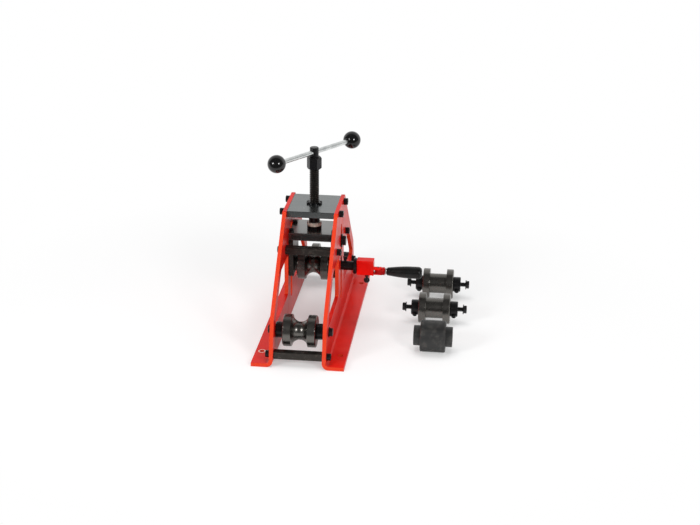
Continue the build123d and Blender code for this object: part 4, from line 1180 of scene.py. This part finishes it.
@dataclass(frozen=True)
class BottomRollers:
    """The two fixed grooved rollers on their bushes."""

    bore: float = 13.05
    axis_y: float = 204.0
    axis_z: float = 62.5

    def build(self) -> None:
        """Build both dies and dress their bushes."""
        for place, body, sign in (
            ("front", Body.FRONT_ROLLER, -1), ("rear", Body.REAR_ROLLER, 1)
        ):
            pose = along((1, 0, 0), (0.0, sign * self.axis_y, self.axis_z))
            mounted(f"{place}_die_turned", GroovedRoller().solid(self.bore), body, ROLLER_STEEL,
                    pose, (f"{place}_die",))
            kept(f"{place}_die_bush", BRONZE)


@dataclass(frozen=True)
class Carriage:
    """Sliding carriage with its cheeks, guide bolts, socket and thrust bearing."""

    cheek_ease: float = 0.4
    small_ease: float = 0.22
    screw_axis: Point = (0.0, 0.0, 214.0)

    def build(self) -> None:
        """Dress the carriage."""
        upright = along((0, 0, 1), self.screw_axis)
        softened("carriage_plate", "carriage_plate_ground", Body.CARRIAGE, CARRIAGE_PLATE,
                 self.cheek_ease)
        for side in ("left", "right"):
            softened(f"{side}_cheek", f"{side}_cheek_rolled", Body.CARRIAGE, ROLLED_BAR,
                     self.cheek_ease)
        for node in ("carriage_cap_screws", "guide_bolts", "guide_sleeves"):
            softened(node, f"{node}_black", Body.CARRIAGE, BLACK_STEEL, self.small_ease)
        softened("screw_socket", "screw_socket_fluted", Body.CARRIAGE, BLACK_STEEL,
                 self.small_ease, upright)
        softened("thrust_bearing", "thrust_bearing_drilled", Body.CARRIAGE, BEARING_STEEL,
                 self.small_ease, upright)
        kept("shaft_bushes", BRONZE)


@dataclass(frozen=True)
class PressureScrew:
    """Trapezoidal screw with its head, lock collar and spindle clip."""

    radius: float = 10.0
    pitch: float = 4.0
    depth: float = 1.9
    start: float = 218.3
    end: float = 343.0
    spigot_radius: float = 6.0
    spigot_end: float = 194.6
    head_ease: float = 0.6
    small_ease: float = 0.3

    def build(self) -> None:
        """Cut the thread and dress the parts on it."""
        thread = Thread(self.start, self.end, self.radius, self.pitch, self.depth).solid()
        spigot = spun(
            [(self.spigot_end, 0), (self.spigot_end, self.spigot_radius),
             (self.start, self.spigot_radius), (self.start, 0)],
            48, closed=False,
        )
        upright = along((0, 0, 1), (0.0, 0.0, 0.0))
        mounted("pressure_screw_threaded", gathered([thread, spigot]), Body.SCREW, SCREW_STEEL,
                upright, ("pressure_screw",))
        softened("screw_head", "screw_head_hexagon", Body.SCREW, BLACK_STEEL, self.head_ease)
        for node in ("screw_lock_collar", "spindle_clip"):
            softened(node, f"{node}_black", Body.SCREW, BLACK_STEEL, self.small_ease)
        kept("head_pin", BLACK_STEEL)


@dataclass(frozen=True)
class TommyBar:
    """Sliding bar with a polished ball at each end."""

    height: float = 379.0
    angle: float = 55.2
    radius: float = 5.0
    half_length: float = 110.85
    offset: float = 3.0
    reach: float = 115.6
    ball_radius: float = 18.75
    flat: float = 2.0
    seat_depth: float = 14.0
    mouth_depth: float = 0.3
    mouth_width: float = 0.6
    rim_ease: float = 0.5

    def build(self) -> None:
        """Build the bar and both balls."""
        turn = math.radians(self.angle)
        direction = Vector((math.cos(turn), math.sin(turn), 0))
        bar = spun(
            [(-self.half_length, 0), (-self.half_length, self.radius - 1),
             (1 - self.half_length, self.radius), (self.half_length - 1, self.radius),
             (self.half_length, self.radius - 1), (self.half_length, 0)],
            48, closed=False,
        )
        centre = Vector((0.0, 0.0, self.height)) + direction * self.offset
        mounted("tommy_bar_plated", bar, Body.TOMMY_BAR, ZINC, along(direction, centre),
                ("tommy_bar",))
        for side, sign in (("right", 1), ("left", -1)):
            place = centre + direction * (sign * self.reach)
            mounted(f"{side}_ball_knob", self.ball(), Body.TOMMY_BAR, BALL_BLACK,
                    along(direction * sign, place), ("ball_knobs",))

    def ball(self) -> bmesh.types.BMesh:
        """One ball with its flat towards -X.

        Returns:
            The solid, in millimetres.
        """
        bore = self.radius + RUNNING
        face = self.flat - self.ball_radius
        start = math.degrees(math.acos(face / self.ball_radius))
        skin = arc((0.0, 0.0), self.ball_radius, start, 0.0, 40)[:-1]
        floor = self.seat_depth - self.ball_radius + 1.0
        profile: list[Station] = [
            (floor, 0), (floor, bore), (face + self.mouth_depth, bore),
            (face, bore + self.mouth_width), (face, skin[0][1] - self.rim_ease),
        ]
        return spun(profile + skin[1:] + [(self.ball_radius, 0)], 96, closed=False)


@dataclass(frozen=True)
class DriveRoller:
    """Driven top roller with its shaft, sleeve and ratchet wheel."""

    axis_z: float = 128.5
    bore: float = 10.05
    hub_radius: float = 16.5
    hub_end: float = 39.8
    small_ease: float = 0.25

    def build(self) -> None:
        """Build the die and dress what turns with it."""
        pose = along((1, 0, 0), (0.0, 0.0, self.axis_z))
        die = GroovedRoller().solid(self.bore, self.hub_radius, self.hub_end)
        mounted("top_die_turned", die, Body.DRIVE_ROLLER, ROLLER_STEEL, pose, ("top_die",))
        softened("drive_sleeve", "drive_sleeve_black", Body.DRIVE_ROLLER, BLACK_STEEL,
                 self.small_ease, pose)
        softened("sleeve_lock_screw", "sleeve_lock_screw_black", Body.DRIVE_ROLLER, BLACK_STEEL,
                 self.small_ease)
        kept("drive_shaft", BLACK_STEEL)
        kept("ratchet_wheel", BLACK_STEEL)
        kept("drive_keys", ZINC)
        kept("shaft_end_clip", ZINC)


@dataclass(frozen=True)
class RatchetHead:
    """Red housing with its pull plunger."""

    housing_ease: float = 0.5
    small_ease: float = 0.2
    plunger_x: float = 113.3
    knob_z: float = 97.4
    knob_radius: float = 6.5
    knob_top: float = 5.1
    rod_radius: float = 2.05
    ribs: int = 24
    rib_depth: float = 0.25
    rib_reach: float = 0.6

    def build(self) -> None:
        """Dress the housing and build the plunger's knob."""
        softened("ratchet_housing", "ratchet_housing_painted", Body.RATCHET_HEAD, HEAD_PAINT,
                 self.housing_ease)
        softened("handle_hinge_pin", "handle_hinge_pin_black", Body.RATCHET_HEAD, BLACK_STEEL,
                 self.small_ease)
        softened("plunger_guide", "plunger_guide_black", Body.RATCHET_HEAD, BLACK_STEEL,
                 self.small_ease)
        kept("housing_bush", BRONZE)
        kept("plunger_spring", ZINC)
        kept("pawl_plunger", BLACK_STEEL)
        pose = along((0, 0, 1), (self.plunger_x, 0.0, self.knob_z))
        mounted("plunger_knob_ribbed", self.knob(), Body.PLUNGER, BLACK_STEEL, pose,
                ("plunger_knob",))

    def knob(self) -> bmesh.types.BMesh:
        """The knob, ribbed round its middle.

        Returns:
            The solid, in millimetres.
        """
        rim = math.degrees(math.acos(self.knob_top / self.knob_radius))
        outline = arc((0.0, 0.0), self.knob_radius, 180.0, rim, 28)[1:]

        def ribbed(radius: float, share: float) -> Callable[[float], float]:
            """Radius that dips between the ribs."""
            return lambda angle: radius - self.rib_depth * share * (
                0.5 - 0.5 * math.cos(self.ribs * angle)
            )

        stations: list[Station] = [(-self.knob_radius, 0)]
        for x, radius in outline:
            share = max(0.0, 1.0 - abs(x) / (self.rib_reach * self.knob_radius))
            stations.append((x, ribbed(radius, min(1.0, 2 * share))))
        top = outline[-1][0]
        stations += [(top, self.rod_radius - 0.2), (top - 1.0, 0)]
        return spun(stations, 4 * self.ribs, closed=False)


@dataclass(frozen=True)
class FoldingHandle:
    """Tongue, ferrule and moulded grip."""

    axis_z: float = 119.5
    tongue_ease: float = 0.4
    ferrule_start: float = 151.85
    ferrule_length: float = 5.0
    ferrule_radius: float = 7.5
    rod_bore: float = 4.05
    bead_radius: float = 2.0
    bead_depth: float = 1.6
    grip_length: float = 75.0
    start_radius: float = 8.4
    full_radius: float = 13.0
    taper: float = 52.0
    end_round: float = 8.0
    swell_steps: int = 32
    swell_power: float = 1.05

    def build(self) -> None:
        """Build the ferrule and the grip and dress the rest."""
        softened("handle_tongue", "handle_tongue_painted", Body.HANDLE, SHADED_NECK_PAINT,
                 self.tongue_ease)
        kept("handle_rod", ZINC)
        pose = along((1, 0, 0), (self.ferrule_start, 0.0, self.axis_z))
        mounted("ferrule_bright", self.ferrule(), Body.HANDLE, ZINC, pose, ("handle_ferrule",))
        pose = along((1, 0, 0), (self.ferrule_start + self.ferrule_length, 0.0, self.axis_z))
        mounted("grip_moulded", self.grip(), Body.HANDLE, GRIP_BLACK, pose, ("handle_grip",))

    def ferrule(self) -> bmesh.types.BMesh:
        """Ferrule with a rounded bead.

        Returns:
            The solid, in millimetres.
        """
        end, edge = self.ferrule_length, self.ferrule_radius - self.bead_depth
        middle = (end / 2, self.ferrule_radius - self.bead_radius)
        bead = arc(middle, self.bead_radius, 160.0, 20.0, 10)
        return spun(
            [(0.0, self.rod_bore), (0.0, edge)] + bead + [(end, edge), (end, self.rod_bore)]
        )

    def grip(self) -> bmesh.types.BMesh:
        """Grip that swells from the ferrule and ends in a dome.

        Returns:
            The solid, in millimetres.
        """
        swell = []
        for index in range(1, self.swell_steps + 1):
            share = index / self.swell_steps
            lift = math.sin(share * math.pi / 2) ** self.swell_power
            swell.append((share * self.taper,
                          self.start_radius + (self.full_radius - self.start_radius) * lift))
        end = self.grip_length
        dome = arc((end - self.end_round, self.full_radius - self.end_round), self.end_round,
                   90.0, 0.0, 12)
        profile: list[Station] = [(0.0, 0), (0.0, self.start_radius - 0.8),
                                  (0.25, self.start_radius - 0.2), (0.9, self.start_radius)]
        return spun(profile + swell + dome + [(end, 0)], 80, closed=False)


@dataclass(frozen=True)
class LooseRoller:
    """Spare roller with a flat groove on its own axle."""

    letter: str
    centre: Point
    set_body: Body
    roller_body: Body
    half_width: float = 33.8
    rim: float = 33.0
    core: float = 22.0
    rim_width: float = 15.0
    chamfer: float = 1.5
    bore: float = 10.05
    axle_end: float = 50.0
    bolt_seat: float = 63.0
    bolt_radius: float = 5.0
    bolt_length: float = 23.0
    head_flats: float = 16.0
    head_height: float = 6.4
    washer_radius: float = 10.5
    washer_width: float = 2.0
    collar_width: float = 16.0
    screw_tilt: float = 35.0
    screw_radius: float = 3.0
    cap_seat: float = 16.55
    cap_height: float = 4.4
    cap_radius: float = 4.8
    cap_socket: float = 2.5
    cap_socket_depth: float = 2.5
    cap_chamfer: float = 0.6
    thread_pitch: float = 1.5
    thread_depth: float = 0.8
    ease: float = 0.35
    axle_ease: float = 0.3
    collar_ease: float = 0.25

    def build(self) -> None:
        """Build the die and its fasteners and dress the axle and collars."""
        name = f"spare_{self.letter}"
        pose = along((1, 0, 0), self.centre)
        mounted(f"{name}_die_turned", self.die(), self.roller_body, ROLLER_STEEL, pose,
                (f"{name}_die",))
        softened(f"{name}_axle", f"{name}_axle_black", self.set_body, BLACK_STEEL,
                 self.axle_ease, pose)
        softened(f"{name}_collars", f"{name}_collars_black", self.set_body, BLACK_STEEL,
                 self.collar_ease, pose)
        mounted(f"{name}_screws_threaded", self.fasteners(), self.set_body, BLACK_STEEL, pose,
                (f"{name}_fasteners",))

    def die(self) -> bmesh.types.BMesh:
        """Roller with two rims and a straight core.

        Returns:
            The solid, in millimetres.
        """
        half, inner = self.half_width, self.half_width - self.rim_width
        right: list[Station] = [
            (inner, self.core), (inner, self.rim), (half - self.chamfer, self.rim),
            (half, self.rim - self.chamfer), (half, self.bore),
        ]
        left = [(-x, r) for x, r in reversed(right)]
        return spun(eased(left + right, self.ease))

    def fasteners(self) -> bmesh.types.BMesh:
        """Two part-unscrewed bolts, two loose washers and two low cap screws.

        Returns:
            The solids as one mesh, in millimetres.
        """
        solids = []
        for turn in (0.0, math.pi):
            side = Matrix.Rotation(turn, 4, "Z") @ Matrix.Translation((self.bolt_seat, 0, 0))
            shank = Thread(-self.bolt_length, 0.0, self.bolt_radius, self.thread_pitch,
                           self.thread_depth, columns=32)
            solids.append(shifted(shank.solid(), side))
            solids.append(shifted(HexHead(self.head_flats, self.head_height).solid(), side))
            washer = spun(
                eased([(-self.washer_width + RUNNING, self.bolt_radius + RUNNING),
                       (-self.washer_width + RUNNING, self.washer_radius),
                       (-0.02, self.washer_radius), (-0.02, self.bolt_radius + RUNNING)],
                      self.collar_ease), 64
            )
            solids.append(shifted(washer, side))
            place = self.axle_end - self.collar_width / 2
            tilt = Matrix.Rotation(math.radians(90 + self.screw_tilt), 4, "X")
            stand = Matrix.Translation((place if turn == 0.0 else -place, 0, 0))
            solids.append(shifted(self.cap_screw(), stand @ tilt))
        return gathered(solids)

    def cap_screw(self) -> bmesh.types.BMesh:
        """Low cap screw that locks a collar, along Z, with a hexagon socket.

        Returns:
            The solid, in millimetres.
        """
        low, seat, top = self.bore, self.cap_seat, self.cap_seat + self.cap_height
        floor = top - self.cap_socket_depth

        def socket(angle: float) -> float:
            """Distance from the axis to the socket's side."""
            return self.cap_socket / math.cos((angle + SIXTH / 2) % SIXTH - SIXTH / 2)

        screw = spun(
            [(low, 0), (low, self.screw_radius), (seat, self.screw_radius),
             (seat, self.cap_radius), (top - self.cap_chamfer, self.cap_radius),
             (top, self.cap_radius - self.cap_chamfer),
             (top, socket), (floor, socket), (floor, 0)],
            48, closed=False,
        )
        return shifted(screw, along((0, 0, 1), (0.0, 0.0, 0.0)))


@dataclass(frozen=True)
class LooseDrum:
    """Knurled spare drum with a plain hub at each side."""

    centre: Point = (266.0, -130.0, 33.0)
    radius: float = 33.0
    half_width: float = 26.0
    hub_radius: float = 21.0
    hub_end: float = 40.0
    bore: float = 10.05
    chamfer: float = 1.5
    knurls: int = 92
    knurl_depth: float = 0.45
    knurl_fade: float = 0.8
    ease: float = 0.4

    def build(self) -> None:
        """Build the drum."""
        pose = along((1, 0, 0), self.centre)
        mounted("spare_drum_knurled", self.solid(), Body.SPARE_DRUM, KNURLED_STEEL, pose,
                ("spare_drum",))

    def solid(self) -> bmesh.types.BMesh:
        """The drum round X.

        Returns:
            The solid, in millimetres.
        """
        pitch = 2 * math.pi * self.radius / self.knurls
        flat = self.half_width - self.chamfer
        rows = round(2 * flat / pitch * 4)

        def knurl(x: float, share: float) -> Callable[[float], float]:
            """Radius with two crossed sets of grooves.

            Args:
                x: Distance from the middle along the drum.
                share: How deep the grooves go there.

            Returns:
                The radius as a function of the angle.
            """
            def radius(angle: float) -> float:
                """Radius at one angle, down in the nearer groove."""
                across = angle * self.knurls / (2 * math.pi)
                length = x / pitch
                grooves = [abs(2 * ((across + sign * length) % 1.0) - 1) for sign in (-1, 1)]
                return self.radius - self.knurl_depth * share * (1 - min(grooves))
            return radius

        right: list[Station] = [
            (flat, self.radius - 0.1), (self.half_width, self.radius - self.chamfer),
            (self.half_width, self.hub_radius), (self.hub_end - self.ease, self.hub_radius),
            (self.hub_end, self.hub_radius - self.ease), (self.hub_end, self.bore + self.ease),
            (self.hub_end - self.ease, self.bore),
        ]
        left = [(-x, r) for x, r in reversed(right)]
        middle: list[Station] = []
        for row in range(1, rows):
            x = flat * (2 * row / rows - 1)
            middle.append((x, knurl(x, min(1.0, (flat - abs(x)) / self.knurl_fade))))
        return spun(left + middle + right, 4 * self.knurls)


# ------------------------------------------------------------------ studio
@dataclass(frozen=True)
class PhotoCamera:
    """Camera of the photograph, in metres and degrees."""

    place: Point = (0.40459, -2.88744, 1.28603)
    azimuth: float = 6.4755
    elevation: float = 21.5987
    roll: float = 0.4905
    focal_pixels: float = 1460.9

    def build(self) -> None:
        """Place the camera and make it the scene's own."""
        turn, tilt, lean = (math.radians(a) for a in (self.azimuth, self.elevation, self.roll))
        forward = Vector((
            -math.sin(turn) * math.cos(tilt), math.cos(turn) * math.cos(tilt), -math.sin(tilt)
        ))
        level = Vector((math.cos(turn), math.sin(turn), 0))
        rise = level.cross(forward)
        right = math.cos(lean) * level + math.sin(lean) * rise
        upward = -math.sin(lean) * level + math.cos(lean) * rise
        lens = bpy.data.cameras.new("photo_camera")
        lens.sensor_fit = "HORIZONTAL"
        lens.sensor_width = SENSOR_WIDTH
        lens.lens = self.focal_pixels / PHOTO_SIZE[0] * SENSOR_WIDTH
        lens.clip_end = 100.0
        camera = bpy.data.objects.new("photo_camera", lens)
        turned = Matrix((right, upward, -forward)).transposed().to_4x4()
        camera.matrix_world = Matrix.Translation(self.place) @ turned
        bpy.context.scene.collection.objects.link(camera)
        bpy.context.scene.camera = camera


@dataclass(frozen=True)
class SoftLamp:
    """Round soft lamp that points at the machine."""

    name: str
    place: Point
    target: Point
    size: float
    power: float
    mirrored: bool = True

    def build(self) -> None:
        """Add the lamp."""
        lamp = bpy.data.lights.new(self.name, "AREA")
        lamp.shape = "DISK"
        lamp.size = self.size
        lamp.energy = self.power
        holder = bpy.data.objects.new(self.name, lamp)
        holder.visible_glossy = self.mirrored
        aim = Vector(self.target) - Vector(self.place)
        holder.matrix_world = (
            Matrix.Translation(self.place) @ aim.to_track_quat("-Z", "Y").to_matrix().to_4x4()
        )
        bpy.context.scene.collection.objects.link(holder)


@dataclass(frozen=True)
class Studio:
    """White floor, soft lamps and a pale world."""

    floor_reach: float = 9.0
    floor_colour: Colour = (0.88, 0.88, 0.88)
    clear_from: float = 0.30
    clear_to: float = 0.90
    world_fill: float = 0.55
    front_dim: float = 0.14
    near_edge: Range = (-0.75, -0.42)
    near_clear: float = 0.35
    backdrop_range: Range = (0.05, 0.35)
    overhead_range: Range = (0.4, 0.9)
    overhead_dim: float = 0.3
    lamps: tuple[SoftLamp, ...] = (
        SoftLamp("left_lamp", (-1.75, -2.1, 1.35), (0.0, 0.0, 0.25), 0.75, 30.0),
        SoftLamp("right_lamp", (1.75, -2.3, 1.45), (0.05, 0.0, 0.2), 0.75, 30.0),
        SoftLamp("top_lamp", (0.1, 0.2, 2.6), (0.1, 0.0, 0.0), 1.8, 26.0, False),
    )

    def build(self) -> None:
        """Add floor, world and lamps."""
        self._floor()
        self._world()
        for lamp in self.lamps:
            lamp.build()

    def _floor(self) -> None:
        """Floor that keeps the shadow near the machine and clears to white round it."""
        shape = bmesh.new()
        reach = self.floor_reach
        corners = [(-reach, -reach), (reach, -reach), (reach, reach), (-reach, reach)]
        shape.faces.new([shape.verts.new((x, y, 0.0)) for x, y in corners])
        mesh = bpy.data.meshes.new("studio_floor")
        shape.to_mesh(mesh)
        shape.free()
        floor = bpy.data.objects.new("studio_floor", mesh)
        bpy.context.scene.collection.objects.link(floor)
        mesh.materials.append(self._floor_material())

    def _floor_material(self) -> bpy.types.Material:
        """White floor, plain white to the camera away from the machine.

        Returns:
            The floor's material.
        """
        made = bpy.data.materials.new("studio_white")
        made.use_nodes = True
        graph = Graph(made.node_tree)
        x, y, _ = graph.split(graph.place())
        away = (x * x + y * y) ** 0.5
        rays = graph.node("ShaderNodeLightPath")
        camera = graph.wire(rays, "Is Camera Ray", Kind.NUMBER)
        mirrored = graph.wire(rays, "Is Glossy Ray", Kind.NUMBER)
        seen = camera + mirrored
        front = 1.0 - graph.step(y, *self.near_edge)
        matt = graph.node("ShaderNodeBsdfDiffuse", sockets={"Color": (*self.floor_colour, 1.0)})
        plain = graph.node(
            "ShaderNodeEmission",
            sockets={"Strength": 1.0 - mirrored * front * (1.0 - self.front_dim)},
        )
        cleared = graph.step(away, self.clear_from, self.clear_to)
        share = seen * (self.near_clear + (1.0 - self.near_clear) * cleared)
        blend = graph.node("ShaderNodeMixShader", sockets={0: share})
        output = graph.node("ShaderNodeOutputMaterial")
        graph.tree.links.new(matt.outputs[0], blend.inputs[1])
        graph.tree.links.new(plain.outputs[0], blend.inputs[2])
        graph.tree.links.new(blend.outputs[0], output.inputs[0])
        return made

    def _world(self) -> None:
        """White to the camera, a white backdrop in reflections and a plain fill for the rest."""
        world = bpy.data.worlds.new("studio_world")
        world.use_nodes = True
        bpy.context.scene.world = world
        graph = Graph(world.node_tree)
        rays = graph.node("ShaderNodeLightPath")
        seen = graph.wire(rays, "Is Camera Ray", Kind.NUMBER)
        mirrored = graph.wire(rays, "Is Glossy Ray", Kind.NUMBER)
        _, depth, height = graph.split(
            graph.wire(graph.node("ShaderNodeTexCoord"), "Generated", Kind.VECTOR)
        )
        overhead = graph.step(height, *self.overhead_range)
        backdrop = graph.step(depth, *self.backdrop_range) * (1.0 - self.overhead_dim * overhead)
        room = backdrop * (1.0 - self.front_dim) + self.front_dim
        plain = (1.0 - seen - mirrored) * self.world_fill
        fill = seen + mirrored * room + plain
        sky = graph.node("ShaderNodeBackground", sockets={"Color": (1, 1, 1, 1), 1: fill})
        output = graph.node("ShaderNodeOutputWorld")
        graph.tree.links.new(sky.outputs[0], output.inputs[0])


def main() -> None:
    """Build the studio and every sub-assembly in order."""
    logging.basicConfig(level=logging.INFO, format="%(message)s")
    bpy.context.scene.view_settings.view_transform = "Standard"
    PhotoCamera().build()
    Studio().build()
    for part in (
        SideFrame(), BottomRollers(), Carriage(), PressureScrew(), TommyBar(), DriveRoller(),
        RatchetHead(), FoldingHandle(),
        LooseRoller("a", (259.5, 158.0, 33.0), Body.SPARE_SET_A, Body.SPARE_ROLLER_A),
        LooseRoller("b", (260.0, 17.0, 33.0), Body.SPARE_SET_B, Body.SPARE_ROLLER_B),
        LooseDrum(),
    ):
        part.build()
        LOG.info("%s is done", type(part).__name__)


if __name__ == "__main__":
    main()
